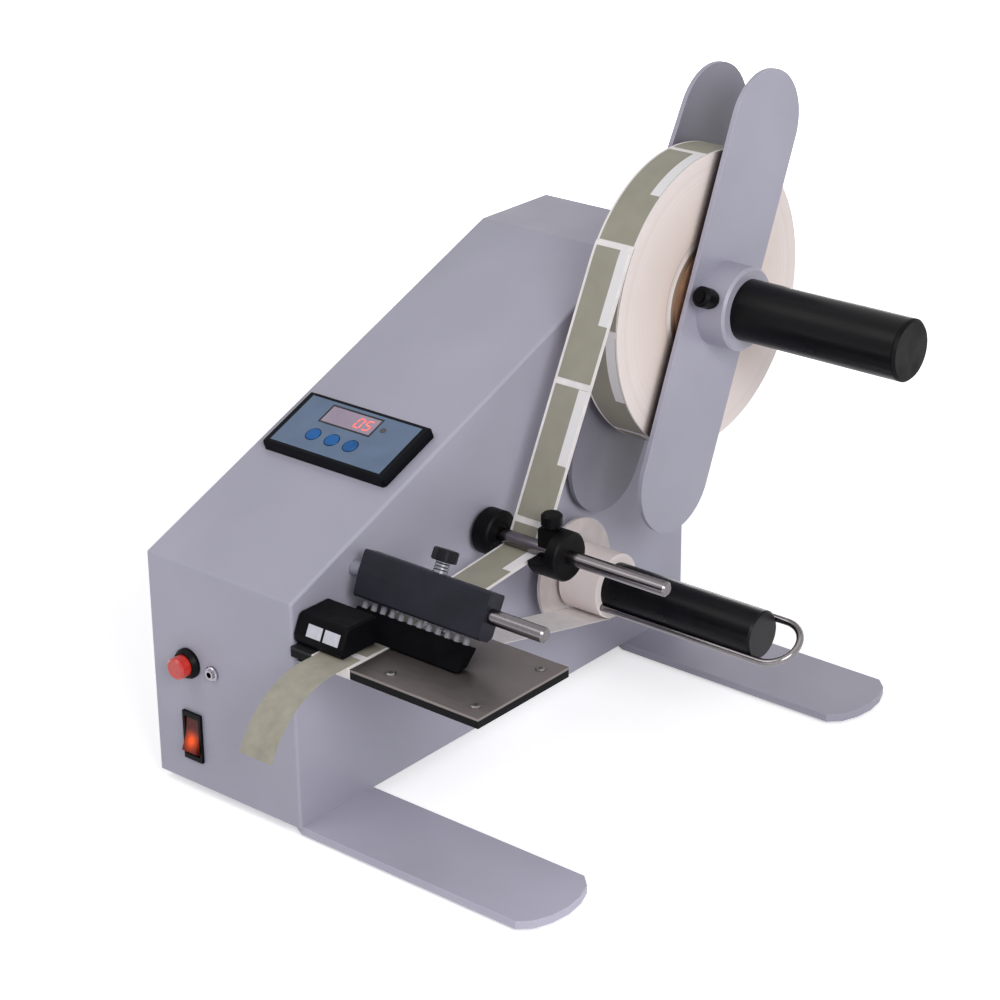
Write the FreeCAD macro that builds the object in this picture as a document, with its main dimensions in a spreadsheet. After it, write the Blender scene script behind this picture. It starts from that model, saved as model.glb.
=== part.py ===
import FreeCAD, Part
import math
import os
import Sketcher

os.makedirs("parts", exist_ok=True)
V = FreeCAD.Vector
doc = FreeCAD.newDocument("label_dispenser")
sheet = doc.addObject("Spreadsheet::Sheet", "sizes")


# A size knows its number and the formula that says it in the sheet's words,
# so each formula is written once and every object is bound to the sheet by it.
class Size:
    def __init__(self, text, value):
        self.text = text
        self.value = float(value)

    def join(self, other, sign, value, swap=False):
        other = size(other)
        first, second = (other, self) if swap else (self, other)
        return Size("(%s %s %s)" % (first.text, sign, second.text), value)

    def __add__(self, other):
        return self.join(other, "+", self.value + size(other).value)

    def __radd__(self, other):
        return self.join(other, "+", self.value + size(other).value, True)

    def __sub__(self, other):
        return self.join(other, "-", self.value - size(other).value)

    def __rsub__(self, other):
        return self.join(other, "-", size(other).value - self.value, True)

    def __mul__(self, other):
        return self.join(other, "*", self.value * size(other).value)

    def __rmul__(self, other):
        return self.join(other, "*", self.value * size(other).value, True)

    def __truediv__(self, other):
        return self.join(other, "/", self.value / size(other).value)

    def __neg__(self):
        return Size("(0 - %s)" % self.text, -self.value)


def size(number):
    return number if isinstance(number, Size) else Size("%.6g" % number, number)


def sine(angle):
    return Size("sin(%s)" % angle.text, math.sin(math.radians(angle.value)))


def cosine(angle):
    return Size("cos(%s)" % angle.text, math.cos(math.radians(angle.value)))


row = 0


def driving(name, value, note):
    global row
    row += 1
    sheet.set("A%d" % row, name)
    sheet.set("B%d" % row, str(value))
    sheet.setAlias("B%d" % row, name)
    sheet.set("C%d" % row, note)
    return Size("sizes." + name, value)


# The machine's own sizes in millimetres and degrees, once each.
# The sheet below takes them up and says what each one is.
CAB_X = -151.5
CAB_Y = -179.362
CAB_Z = 7
CAB_WIDTH = 115
CAB_DEPTH = 365
CAB_HEIGHT = 266
FRONT_HEIGHT = 142
SLOPE_END = 302
SLOPE_ANGLE = 22.324
WALL = 1.5
BEND = 2
FIT = 0.05
GAP = 0.3
BAR_THICK = 5
BAR_WIDTH = 60
BAR_REACH = 272
BAR_TIP = 285
BAR_FRONT = 2
BAR_REAR = 303
PAD_RADIUS = 8
SUPPLY_Y = 328
SUPPLY_Z = 238
TUBE_RADIUS = 19
TUBE_WALL = 3
TUBE_END = 300
AXLE_RADIUS = 7.5
BLADE_THICK = 3
BLADE_HALF = 145
BLADE_RADIUS = 35
REAR_BLADE_X = 119.5
FRONT_BLADE_X = 165
REAR_BLADE_TILT = 60.9
FRONT_BLADE_TILT = 66.8
HUB_RADIUS = 26
HUB_LENGTH = 20
WEB_LEFT = 131.5
WEB_WIDTH = 28
ROLL_RADIUS = 93
CORE_RADIUS = 36
KNOB_RADIUS = 6.4
GUIDE_Y = 163.2
GUIDE_Z = 130.9
ROD_RADIUS = 4.4
GUIDE_END = 251.5
COLLAR_RADIUS = 15
INNER_COLLAR = 14.2
PLATE_TOP = 117
PLATE_THICK = 1.5
PLATE_BASE = 4.5
PLATE_FRONT = -1.5
PLATE_REAR = 75
PLATE_END = 250.5
PRESS_Y = 51.5
PRESS_Z = 146
PRESS_TILT = 28
PRESS_END = 253.7
BLOCK_LEFT = 124
BLOCK_RIGHT = 216
SHOE_RIGHT = 208.8
PIN_PITCH = 6.75
PIN_RADIUS = 1.7
SENSOR_LEFT = 115.5
SENSOR_RIGHT = 152
REWIND_Y = 236
REWIND_Z = 79
REWIND_RADIUS = 15
REWIND_END = 268
DISC_RADIUS = 35
WASTE_RADIUS = 20.5
CLIP_TIP = 293
CLIP_WIRE = 2.2
CLIP_OFFSET = 16.2
CLIP_DROP = 2.4
CLIP_TILT = 26.3
BUTTON_X = 30.4
BUTTON_Z = 79.4
CAP_RADIUS = 6.7
JACK_X = 50
JACK_Z = 78.8
ROCKER_X = 31.4
ROCKER_Z = 31.9
PANEL_RUN = 120.7
PANEL_LONG = 96
PANEL_TALL = 48
KEY_RADIUS = 4.6

# Place of the cabinet's front left bottom corner in the part's frame.
cab_x = driving("cab_x", CAB_X, "cabinet left face to the frame's origin")
cab_y = driving("cab_y", CAB_Y, "cabinet front face to the frame's origin")
cab_z = driving("cab_z", CAB_Z, "cabinet underside above the bench")

# Cabinet
cab_width = driving("cab_width", CAB_WIDTH, "cabinet width")
cab_depth = driving("cab_depth", CAB_DEPTH, "cabinet depth")
cab_height = driving("cab_height", CAB_HEIGHT, "height of the flat top")
front_height = driving("front_height", FRONT_HEIGHT, "height of the front face")
slope_end = driving("slope_end", SLOPE_END, "where the slope meets the flat top")
slope_angle = driving("slope_angle", SLOPE_ANGLE, "angle of the slope above level")
wall = driving("wall", WALL, "sheet metal thickness")
bend = driving("bend", BEND, "outside bend radius")
fit = driving("fit", FIT, "radial clearance of a moving fit")
gap = driving("gap", GAP, "gap between curved faces that pass each other")

# Feet
bar_thick = driving("bar_thick", BAR_THICK, "foot bar thickness")
bar_width = driving("bar_width", BAR_WIDTH, "foot bar width")
bar_reach = driving("bar_reach", BAR_REACH, "foot bar corners from the cabinet's left")
bar_tip = driving("bar_tip", BAR_TIP, "middle of the foot bar's round end")
bar_front = driving("bar_front", BAR_FRONT, "front edge of the front foot bar")
bar_rear = driving("bar_rear", BAR_REAR, "front edge of the rear foot bar")
pad_radius = driving("pad_radius", PAD_RADIUS, "rubber pad radius")

# Supply spindle, flange bars and roll
supply_y = driving("supply_y", SUPPLY_Y, "supply axis behind the front face")
supply_z = driving("supply_z", SUPPLY_Z, "supply axis above the cabinet's underside")
tube_radius = driving("tube_radius", TUBE_RADIUS, "supply tube radius")
tube_wall = driving("tube_wall", TUBE_WALL, "supply tube wall")
tube_end = driving("tube_end", TUBE_END, "outer end of the supply tube")
axle_radius = driving("axle_radius", AXLE_RADIUS, "fixed axle radius")
blade_thick = driving("blade_thick", BLADE_THICK, "flange bar thickness")
blade_half = driving("blade_half", BLADE_HALF, "flange bar half length")
blade_radius = driving("blade_radius", BLADE_RADIUS, "flange bar half width")
rear_blade_x = driving("rear_blade_x", REAR_BLADE_X, "inner face of the rear flange bar")
front_blade_x = driving("front_blade_x", FRONT_BLADE_X, "inner face of the front flange bar")
rear_blade_tilt = driving("rear_blade_tilt", REAR_BLADE_TILT, "rear flange bar above level")
front_blade_tilt = driving("front_blade_tilt", FRONT_BLADE_TILT, "front flange bar above level")
hub_radius = driving("hub_radius", HUB_RADIUS, "hub collar radius")
hub_length = driving("hub_length", HUB_LENGTH, "hub collar length")
web_left = driving("web_left", WEB_LEFT, "left edge of the liner")
web_width = driving("web_width", WEB_WIDTH, "liner width")
roll_radius = driving("roll_radius", ROLL_RADIUS, "label roll radius")
core_radius = driving("core_radius", CORE_RADIUS, "cardboard core radius")
knob_radius = driving("knob_radius", KNOB_RADIUS, "clamp knob radius")

# Guide rod
guide_y = driving("guide_y", GUIDE_Y, "guide rod behind the front face")
guide_z = driving("guide_z", GUIDE_Z, "guide rod above the cabinet's underside")
rod_radius = driving("rod_radius", ROD_RADIUS, "guide rod and press rod radius")
guide_end = driving("guide_end", GUIDE_END, "outer end of the guide rod")
collar_radius = driving("collar_radius", COLLAR_RADIUS, "outer guide collar radius")
inner_collar = driving("inner_collar", INNER_COLLAR, "inner guide collar radius")

# Peel plate, press block and sensor
plate_top = driving("plate_top", PLATE_TOP, "top of the peel plate")
plate_thick = driving("plate_thick", PLATE_THICK, "steel sheet of the peel plate")
plate_base = driving("plate_base", PLATE_BASE, "black base of the peel plate")
plate_front = driving("plate_front", PLATE_FRONT, "peel edge")
plate_rear = driving("plate_rear", PLATE_REAR, "rear edge of the peel plate")
plate_end = driving("plate_end", PLATE_END, "outer end of the peel plate")
press_y = driving("press_y", PRESS_Y, "press rod behind the front face")
press_z = driving("press_z", PRESS_Z, "press rod above the cabinet's underside")
press_tilt = driving("press_tilt", PRESS_TILT, "press block leans back from upright")
press_end = driving("press_end", PRESS_END, "outer end of the press rod")
block_left = driving("block_left", BLOCK_LEFT, "left end of the press block")
block_right = driving("block_right", BLOCK_RIGHT, "right end of the press block")
shoe_right = driving("shoe_right", SHOE_RIGHT, "right end of the press shoe")
pin_pitch = driving("pin_pitch", PIN_PITCH, "pitch of the press pins")
pin_radius = driving("pin_radius", PIN_RADIUS, "press pin radius")
sensor_left = driving("sensor_left", SENSOR_LEFT, "left end of the sensor head")
sensor_right = driving("sensor_right", SENSOR_RIGHT, "right end of the sensor head")

# Rewind
rewind_y = driving("rewind_y", REWIND_Y, "rewind axis behind the front face")
rewind_z = driving("rewind_z", REWIND_Z, "rewind axis above the cabinet's underside")
rewind_radius = driving("rewind_radius", REWIND_RADIUS, "rewind shaft radius")
rewind_end = driving("rewind_end", REWIND_END, "outer end of the rewind shaft")
disc_radius = driving("disc_radius", DISC_RADIUS, "rewind backing disc radius")
waste_radius = driving("waste_radius", WASTE_RADIUS, "waste liner roll radius")
clip_tip = driving("clip_tip", CLIP_TIP, "outer end of the wire clip")
clip_wire = driving("clip_wire", CLIP_WIRE, "wire radius of the clip")
clip_offset = driving("clip_offset", CLIP_OFFSET, "clip leg from the rewind axis")
clip_drop = driving("clip_drop", CLIP_DROP, "plane of the clip below the rewind axis")
clip_tilt = driving("clip_tilt", CLIP_TILT, "plane of the clip above level")

# Controls
button_x = driving("button_x", BUTTON_X, "push button from the left face")
button_z = driving("button_z", BUTTON_Z, "push button above the underside")
cap_radius = driving("cap_radius", CAP_RADIUS, "push button cap radius")
jack_x = driving("jack_x", JACK_X, "jack socket from the left face")
jack_z = driving("jack_z", JACK_Z, "jack socket above the underside")
rocker_x = driving("rocker_x", ROCKER_X, "rocker switch from the left face")
rocker_z = driving("rocker_z", ROCKER_Z, "rocker switch above the underside")
panel_run = driving("panel_run", PANEL_RUN, "panel middle along the slope")
panel_long = driving("panel_long", PANEL_LONG, "control panel length")
panel_tall = driving("panel_tall", PANEL_TALL, "control panel height")
key_radius = driving("key_radius", KEY_RADIUS, "panel key radius")
doc.recompute()

web_right = web_left + web_width
hub_start = front_blade_x + blade_thick
side = cab_width
TURN = {
    "x": FreeCAD.Rotation(V(0, 1, 0), 90),
    "y": FreeCAD.Rotation(V(1, 0, 0), -90),
    "-y": FreeCAD.Rotation(V(1, 0, 0), 90),
    "z": FreeCAD.Rotation(),
}


def bind(thing, path, number):
    thing.setExpression(path, size(number).text)


def place(thing, pos, turn="z"):
    thing.Placement = FreeCAD.Placement(V(*[size(n).value for n in pos]), TURN[turn])
    for letter, number in zip("xyz", pos):
        bind(thing, "Placement.Base." + letter, number)
    return thing


# Solids of the Part bench: each takes a corner or an end and its sizes.
def box(pos, dims):
    thing = doc.addObject("Part::Box", "box")
    for name, number in zip(("Length", "Width", "Height"), dims):
        bind(thing, name, number)
    return place(thing, pos)


def rod(turn, pos, radius, length):
    thing = doc.addObject("Part::Cylinder", "rod")
    bind(thing, "Radius", radius)
    bind(thing, "Height", length)
    return place(thing, pos, turn)


def join(*things):
    if len(things) == 1:
        return things[0]
    thing = doc.addObject("Part::MultiFuse", "join")
    thing.Shapes = list(things)
    return thing


def cut(base, *tools):
    thing = doc.addObject("Part::Cut", "cut")
    thing.Base = base
    thing.Tool = join(*tools)
    return thing


def ring(turn, pos, radius, bore, length):
    return cut(rod(turn, pos, radius, length), rod(turn, pos, bore, length))


# Bodies of the PartDesign bench. A sketch pins each of its points to the sheet.
def plane_of(body, role):
    return [f for f in body.Origin.OriginFeatures if f.Role == role][0]


def outline(body, role, points, lift=0.0):
    sketch = body.newObject("Sketcher::SketchObject", "sketch")
    sketch.AttachmentSupport = [(plane_of(body, role), "")]
    sketch.MapMode = "FlatFace"
    bind(sketch, "AttachmentOffset.Base.z", lift)
    places = [(size(a), size(b)) for a, b in points]
    count = len(places)
    for i in range(count):
        start, end = places[i], places[(i + 1) % count]
        line = Part.LineSegment(V(start[0].value, start[1].value, 0), V(end[0].value, end[1].value, 0))
        sketch.addGeometry(line, False)
    for i in range(count):
        sketch.addConstraint(Sketcher.Constraint("Coincident", i, 2, (i + 1) % count, 1))
    for i, (a, b) in enumerate(places):
        for kind, number, axis in (("DistanceX", a, -2), ("DistanceY", b, -1)):
            if abs(number.value) < 1e-9:
                sketch.addConstraint(Sketcher.Constraint("PointOnObject", i, 1, axis))
            else:
                rule = Sketcher.Constraint(kind, -1, 1, i, 1, number.value)
                index = sketch.addConstraint(rule)
                bind(sketch, "Constraints[%d]" % index, number)
    return sketch


def padded(role, points, length, lift=0.0):
    body = doc.addObject("PartDesign::Body", "body")
    pad = body.newObject("PartDesign::Pad", "pad")
    pad.Profile = outline(body, role, points, lift)
    bind(pad, "Length", length)
    return body


# A turned piece: pairs of radius and height along its own axis.
def turned(turn, pos, points):
    body = doc.addObject("PartDesign::Body", "body")
    spin = body.newObject("PartDesign::Revolution", "spin")
    sketch = outline(body, "XZ_Plane", points)
    spin.Profile = sketch
    spin.ReferenceAxis = (sketch, ["V_Axis"])
    spin.Angle = 360
    return place(body, pos, turn)


def dress(body, kind, radius, wanted):
    doc.recompute()
    tip = body.Tip
    names = []
    for i, edge in enumerate(tip.Shape.Edges):
        middle = edge.valueAt((edge.FirstParameter + edge.LastParameter) / 2)
        if wanted(middle, edge):
            names.append("Edge%d" % (i + 1))
    feature = body.newObject("PartDesign::" + kind, kind.lower())
    feature.Base = (tip, names)
    bind(feature, "Radius" if kind == "Fillet" else "Size", radius)
    return body


nodes = []


# A node is a named compound that carries the shift to the part's frame.
# Pieces of the control panel are drawn flat and laid on the slope. Pieces of the
# press are drawn upright about their rod and leaned back around it.
def node(name, *things, panel=False, press=False):
    thing = doc.addObject("Part::Compound", name)
    thing.Links = list(things)
    if panel:
        thing.Placement = panel_place()
        bind(thing, "Placement.Rotation.Angle", slope_angle)
        pos = (cab_x + cab_width / 2, cab_y + panel_y, cab_z + panel_z)
    elif press:
        turn = FreeCAD.Rotation(V(-1, 0, 0), press_tilt.value)
        thing.Placement = FreeCAD.Placement(V(0, 0, 0), turn)
        bind(thing, "Placement.Rotation.Angle", press_tilt)
        pos = (cab_x, cab_y + press_y, cab_z + press_z)
    else:
        pos = (cab_x, cab_y, cab_z)
    for letter, number in zip("xyz", pos):
        bind(thing, "Placement.Base." + letter, number)
    nodes.append(thing)
    return thing


def panel_place():
    turn = FreeCAD.Rotation(V(1, 0, 0), slope_angle.value)
    return FreeCAD.Placement(V(cab_width.value / 2, panel_y.value, panel_z.value), turn)


panel_y = panel_run * cosine(slope_angle)
panel_z = front_height + panel_run * sine(slope_angle)


# The cabinet: a bent shell with the slope, hollow from the rear and below.
profile = [(0, 0), (cab_depth, 0), (cab_depth, cab_height), (slope_end, cab_height), (0, front_height)]
shell = padded("YZ_Plane", profile, cab_width)
D = cab_depth.value


def bent(middle, edge):
    return middle.y < D - 0.1 and middle.z > 0.1


dress(shell, "Fillet", bend, bent)
doc.recompute()
hollow = shell.newObject("PartDesign::Pocket", "hollow")
drop = wall / cosine(slope_angle)
shift = wall * sine(slope_angle) / (1 + cosine(slope_angle))
inside = [
    (wall, -1),
    (cab_depth + 1, -1),
    (cab_depth + 1, cab_height - wall),
    (slope_end + shift, cab_height - wall),
    (wall, front_height - drop + wall * sine(slope_angle) / cosine(slope_angle)),
]
hollow.Profile = outline(shell, "YZ_Plane", inside, wall)
bind(hollow, "Length", cab_width - 2 * wall)
hollow.Reversed = True
doc.recompute()
if shell.Shape.Volume > 0.5 * shell.Shape.BoundBox.XLength * shell.Shape.BoundBox.YLength * 100:
    hollow.Reversed = False
    doc.recompute()

panel_hole = doc.addObject("Part::Compound", "panel_hole")
panel_hole.Links = [
    box((-panel_long / 2 + 3, -panel_tall / 2 + 1.5, -6), (panel_long - 6, panel_tall - 3, 12)),
]
panel_hole.Placement = panel_place()
bind(panel_hole, "Placement.Base.x", cab_width / 2)
bind(panel_hole, "Placement.Base.y", panel_y)
bind(panel_hole, "Placement.Base.z", panel_z)
bind(panel_hole, "Placement.Rotation.Angle", slope_angle)
reach = 4 * wall
start = side - 2 * wall
rail_y = 17
rail_z = 129
tabs = []
for x in (wall, cab_width - wall - 12):
    for z in (60, 210):
        tabs.append(box((x, cab_depth - 2 * wall - 0.5, z), (12, wall + 0.5, 14)))
board_left = 8
stud_rows = (76, 164)
stud_levels = (36, 104)
studs = []
for y in stud_rows:
    for z in stud_levels:
        studs.append(rod("x", (wall / 2, y, z), 3, board_left - wall / 2))
node("cabinet_shell", cut(
    join(shell, *tabs, *studs),
    panel_hole,
    rod("y", (button_x, -wall, button_z), 6.1, reach),
    rod("y", (jack_x, -wall, jack_z), 3.1, reach),
    box((rocker_x - 6.8, -wall, rocker_z - 13.8), (13.6, reach, 27.6)),
    rod("x", (start, supply_y, supply_z), axle_radius + fit, reach),
    rod("x", (start, guide_y, guide_z), rod_radius + fit, reach),
    rod("x", (start, press_y, press_z), rod_radius + fit, reach),
    rod("x", (start, rewind_y, rewind_z), rewind_radius + 1, reach),
    *[rod("x", (start, rail_y + dy, rail_z), 2, reach) for dy in (-6, 6)]
))

# The bottom and the rear close the shell.
base_y = wall
base_long = cab_depth - 2 * wall
node("base_plate", box((wall, base_y, 0), (cab_width - 2 * wall, base_long, wall)))
inlet_x = cab_width / 2
inlet_z = 40
slots = []
for i in range(6):
    slots.append(box((30, cab_depth - 2 * wall, 150 + 12 * i), (55, 3 * wall, 4)))
node("rear_panel", cut(
    box((wall, cab_depth - wall, wall), (cab_width - 2 * wall, wall, cab_height - 2 * wall)),
    box((inlet_x - 13.8, cab_depth - 2 * wall, inlet_z - 10), (27.6, 3 * wall, 20)),
    *slots
))
rear_screws = []
for x in (wall + 6, cab_width - wall - 6):
    for z in (67, 217):
        head = rod("y", (x, cab_depth, z), 2.8, 1.8)
        rear_screws.append(head)
node("rear_screws", *rear_screws)

# The feet: two bars that reach out under the rolls, with pads and bolts.
tab_in = 20
for name, front, low, high in (
    ("front_foot_bar", bar_front, bar_front + 18, bar_front + 54),
    ("rear_foot_bar", bar_rear, bar_rear + 8, bar_rear + 50),
):
    rear = front + bar_width
    middle = front + bar_width / 2
    foot = padded("XY_Plane", [
        (10, low), (92, low), (104, front + 5), (114, front), (bar_reach, front),
        (bar_reach + 7.3, front + 7), (bar_tip - 1.6, front + 17.5), (bar_tip, middle),
        (bar_tip - 1.6, rear - 17.5), (bar_reach + 7.3, rear - 7), (bar_reach, rear),
        (114, rear), (104, rear - 4), (96, high), (10, high),
    ], bar_thick, -bar_thick)
    node(name, foot)
pad_x = bar_reach - 12
bolt_rows = (60, 85)
bolt_y = 32
bolt_radius = 3
pads = []
bolts = []
holes = []
for foot_name, front in (("front_foot_bar", bar_front), ("rear_foot_bar", bar_rear)):
    for x, y in ((pad_x, front + 14), (pad_x, front + bar_width - 14), (34, front + bolt_y)):
        pads.append(rod("z", (x, y, -cab_z), pad_radius, cab_z - bar_thick))
    drills = []
    for x in bolt_rows:
        stem = rod("z", (x, front + bolt_y, -bar_thick), bolt_radius, bar_thick + wall)
        bolts.append(join(stem, rod("z", (x, front + bolt_y, wall), 5.5, 4)))
        drills.append(rod("z", (x, front + bolt_y, -bar_thick - 1), bolt_radius, bar_thick + 2))
        holes.append(rod("z", (x, front + bolt_y, -1), bolt_radius, 4))
    holder = doc.getObject(foot_name)
    holder.Links = [cut(holder.Links[0], *drills)]
node("rubber_pads", *pads)
node("foot_bolts", *bolts)
holder = doc.getObject("base_plate")
holder.Links = [cut(holder.Links[0], *holes)]

# The supply spindle: a tube that turns on a fixed axle and carries the roll.
tube_start = side + 1.5
bore = tube_radius - tube_wall
flange = rod("x", (side - wall - 8, supply_y, supply_z), 24, 8)
axle = rod("x", (side - wall - 20, supply_y, supply_z), axle_radius, tube_end - side + wall + 12)
node("supply_axle", join(flange, axle))
bearings = []
for x in (tube_start + 3, tube_end - 22):
    bearings.append(ring("x", (x, supply_y, supply_z), bore, axle_radius + fit, 10))
node("supply_bearings", *bearings)
node("supply_tube", ring("x", (tube_start, supply_y, supply_z), tube_radius, bore, tube_end - tube_start))
node("tube_end_cap", turned("x", (tube_end - 5, supply_y, supply_z), [
    (0, 0), (bore, 0), (bore, 5), (tube_radius, 5), (tube_radius, 6.5), (tube_radius - 1.5, 8), (0, 8),
]))


# A flange bar is a plate with two round ends, bored for the tube.
def blade(x, tilt, hole):
    body = doc.addObject("PartDesign::Body", "body")
    sketch = body.newObject("Sketcher::SketchObject", "sketch")
    sketch.AttachmentSupport = [(plane_of(body, "XY_Plane"), "")]
    sketch.MapMode = "FlatFace"
    half = blade_half - blade_radius
    up, mid = blade_radius.value, half.value
    sketch.addGeometry(Part.LineSegment(V(-mid, up, 0), V(mid, up, 0)), False)
    cap = Part.Circle(V(mid, 0, 0), V(0, 0, 1), up)
    sketch.addGeometry(Part.ArcOfCircle(cap, -math.pi / 2, math.pi / 2), False)
    sketch.addGeometry(Part.LineSegment(V(mid, -up, 0), V(-mid, -up, 0)), False)
    cap = Part.Circle(V(-mid, 0, 0), V(0, 0, 1), up)
    sketch.addGeometry(Part.ArcOfCircle(cap, math.pi / 2, 3 * math.pi / 2), False)
    for a, pa, b, pb in ((0, 2, 1, 2), (1, 1, 2, 1), (2, 2, 3, 2), (3, 1, 0, 1)):
        sketch.addConstraint(Sketcher.Constraint("Tangent", a, pa, b, pb))
    sketch.addConstraint(Sketcher.Constraint("PointOnObject", 1, 3, -1))
    sketch.addConstraint(Sketcher.Constraint("Symmetric", 1, 3, 3, 3, -1, 1))
    index = sketch.addConstraint(Sketcher.Constraint("Radius", 1, up))
    bind(sketch, "Constraints[%d]" % index, blade_radius)
    index = sketch.addConstraint(Sketcher.Constraint("DistanceX", -1, 1, 1, 3, mid))
    bind(sketch, "Constraints[%d]" % index, half)
    sketch.addGeometry(Part.Circle(V(0, 0, 0), V(0, 0, 1), hole.value), False)
    sketch.addConstraint(Sketcher.Constraint("Coincident", 4, 3, -1, 1))
    index = sketch.addConstraint(Sketcher.Constraint("Radius", 4, hole.value))
    bind(sketch, "Constraints[%d]" % index, hole)
    pad = body.newObject("PartDesign::Pad", "pad")
    pad.Profile = sketch
    bind(pad, "Length", blade_thick)
    # The sketch's first axis leans by the tilt in the upright plane.
    lay = FreeCAD.Rotation(V(0, 1, 0), V(0, 0, 1), V(1, 0, 0), "ZXY")
    lean = FreeCAD.Rotation(V(1, 0, 0), tilt.value)
    body.Placement = FreeCAD.Placement(V(x.value, supply_y.value, supply_z.value), lean.multiply(lay))
    bind(body, "Placement.Base.x", x)
    bind(body, "Placement.Base.y", supply_y)
    bind(body, "Placement.Base.z", supply_z)
    return body


rear_blade = blade(rear_blade_x, rear_blade_tilt, tube_radius)
front_blade = blade(front_blade_x, front_blade_tilt, tube_radius + fit)
boss = turned("x", (rear_blade_x + blade_thick, supply_y, supply_z), [
    (tube_radius, 0), (hub_radius - 2, 0), (hub_radius - 2, 6), (hub_radius - 3.5, 7.5), (tube_radius, 7.5),
])
node("rear_flange_bar", join(rear_blade, boss))
node("front_flange_bar", front_blade)
knob_tilt = 24.4
knob_lean = math.radians(knob_tilt)
hub_middle = hub_start + hub_length / 2
KNOB = FreeCAD.Rotation(V(0, 0, 1), V(0, -math.cos(knob_lean), math.sin(knob_lean)))
TURN["knob"] = KNOB


def on_knob(radius):
    y = supply_y - radius * math.cos(knob_lean)
    return (hub_middle, y, supply_z + radius * math.sin(knob_lean))


hub = turned("x", (hub_start, supply_y, supply_z), [
    (tube_radius + fit, 0), (hub_radius, 0), (hub_radius, hub_length - 1.5),
    (hub_radius - 1.5, hub_length), (tube_radius + fit, hub_length),
])
node("front_hub_collar", cut(hub, rod("knob", on_knob(size(15)), 2.5 + fit, 15)))
node("hub_knob", turned("knob", on_knob(tube_radius + 0.6), [
    (0, 0), (2.5, 0), (2.5, 6.9), (5.5, 6.9), (5.5, 9), (knob_radius, 10),
    (knob_radius, 18.5), (knob_radius - 2, 20.5), (3.5, 20.5), (3.5, 22.5), (0, 22.5),
]))
node("roll_core", ring("x", (web_left, supply_y, supply_z), core_radius, tube_radius, web_width))
node("label_roll", ring("x", (web_left, supply_y, supply_z), roll_radius, core_radius, web_width))

# The guide rod and its two collars.
thread_start = side - wall - 12
node("guide_rod", turned("x", (thread_start, guide_y, guide_z), [
    (0, 0), (rod_radius, 0), (rod_radius, guide_end - thread_start - 1),
    (rod_radius - 1, guide_end - thread_start), (0, guide_end - thread_start),
]))
node("inner_guide_collar", turned("x", (side, guide_y, guide_z), [
    (rod_radius, 0), (8, 0), (8, 2.5), (inner_collar - 1.5, 2.5), (inner_collar, 4), (inner_collar, 13.8),
    (inner_collar - 1.2, 15), (7.5, 15), (6.5, 14), (rod_radius, 14),
]))
clamp_x = web_right + 1
collar_long = 21
clamp = turned("x", (clamp_x, guide_y, guide_z), [
    (rod_radius + fit, 0), (collar_radius - 1, 0), (collar_radius, 1), (collar_radius, collar_long - 1),
    (collar_radius - 1, collar_long), (rod_radius + fit, collar_long),
])
open_front = box((clamp_x - 1, guide_y - 20, guide_z - 3), (14.5, 16.2, 24))
clamp_knob_x = clamp_x + 7.5
node("outer_guide_collar", cut(
    clamp,
    open_front,
    rod("z", (clamp_knob_x, guide_y, guide_z + rod_radius - 1), 2.5 + fit, 20),
))
knob_seat = collar_radius + 0.4
knob_stem = knob_seat - rod_radius - 0.6
node("guide_knob", turned("z", (clamp_knob_x, guide_y, guide_z + knob_seat), [
    (0, -knob_stem), (2.5, -knob_stem), (2.5, 0), (4.8, 0), (4.8, 1.2), (knob_radius, 2),
    (knob_radius, 7.6), (knob_radius - 1.2, 8.8), (0, 8.8),
]))

# The peel plate: a steel sheet on a black base.
plate_low = plate_top - plate_thick
plate_run = plate_rear - plate_front
steel = box((side, plate_front, plate_low), (plate_end - side, plate_run, plate_thick))
base = box((side, plate_front, plate_low - plate_base), (plate_end - side, plate_run, plate_base))
screw_spots = [(180, 9), (240, 9), (240, 63.5), (168, 66)]
node("peel_plate", cut(steel, *[rod("z", (x, y, plate_low - 1), 1.6, 4) for x, y in screw_spots]))
node("peel_base", cut(base, *[rod("z", (x, y, plate_low - 4), 1.6, 6) for x, y in screw_spots]))
plate_screws = []
for x, y in screw_spots:
    plate_screws.append(turned("z", (x, y, plate_top), [
        (0, -5.4), (1.6, -5.4), (1.6, 0), (3, 0), (3, 0.3), (2.2, 0.9), (0, 0.9),
    ]))
node("peel_plate_screws", *plate_screws)

# The press: block, pins, shoe and thumbscrew lean back about one rod.
node("press_rod", turned("x", (thread_start, press_y, press_z), [
    (0, 0), (rod_radius, 0), (rod_radius, press_end - thread_start - 1),
    (rod_radius - 1, press_end - thread_start), (0, press_end - thread_start),
]))
block_long = block_right - block_left
screw_x = 174
screw_radius = 2.5
pin_y = 1.3
pin_low = -22.4
pin_long = 11
pin_count = 12
first_pin = 129.7
block_foot = -14.4
block_head = 12.6
shoe_top = -19.5
shoe_left = block_left + 2
shoe_low = plate_top + 0.95


# A point of the upright plane in the press's own leaning axes, rod at the origin.
def on_press(y, z):
    dy, dz = size(y) - press_y, size(z) - press_z
    lean_sine, lean_cosine = sine(press_tilt), cosine(press_tilt)
    return (dy * lean_cosine - dz * lean_sine, dy * lean_sine + dz * lean_cosine)


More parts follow.
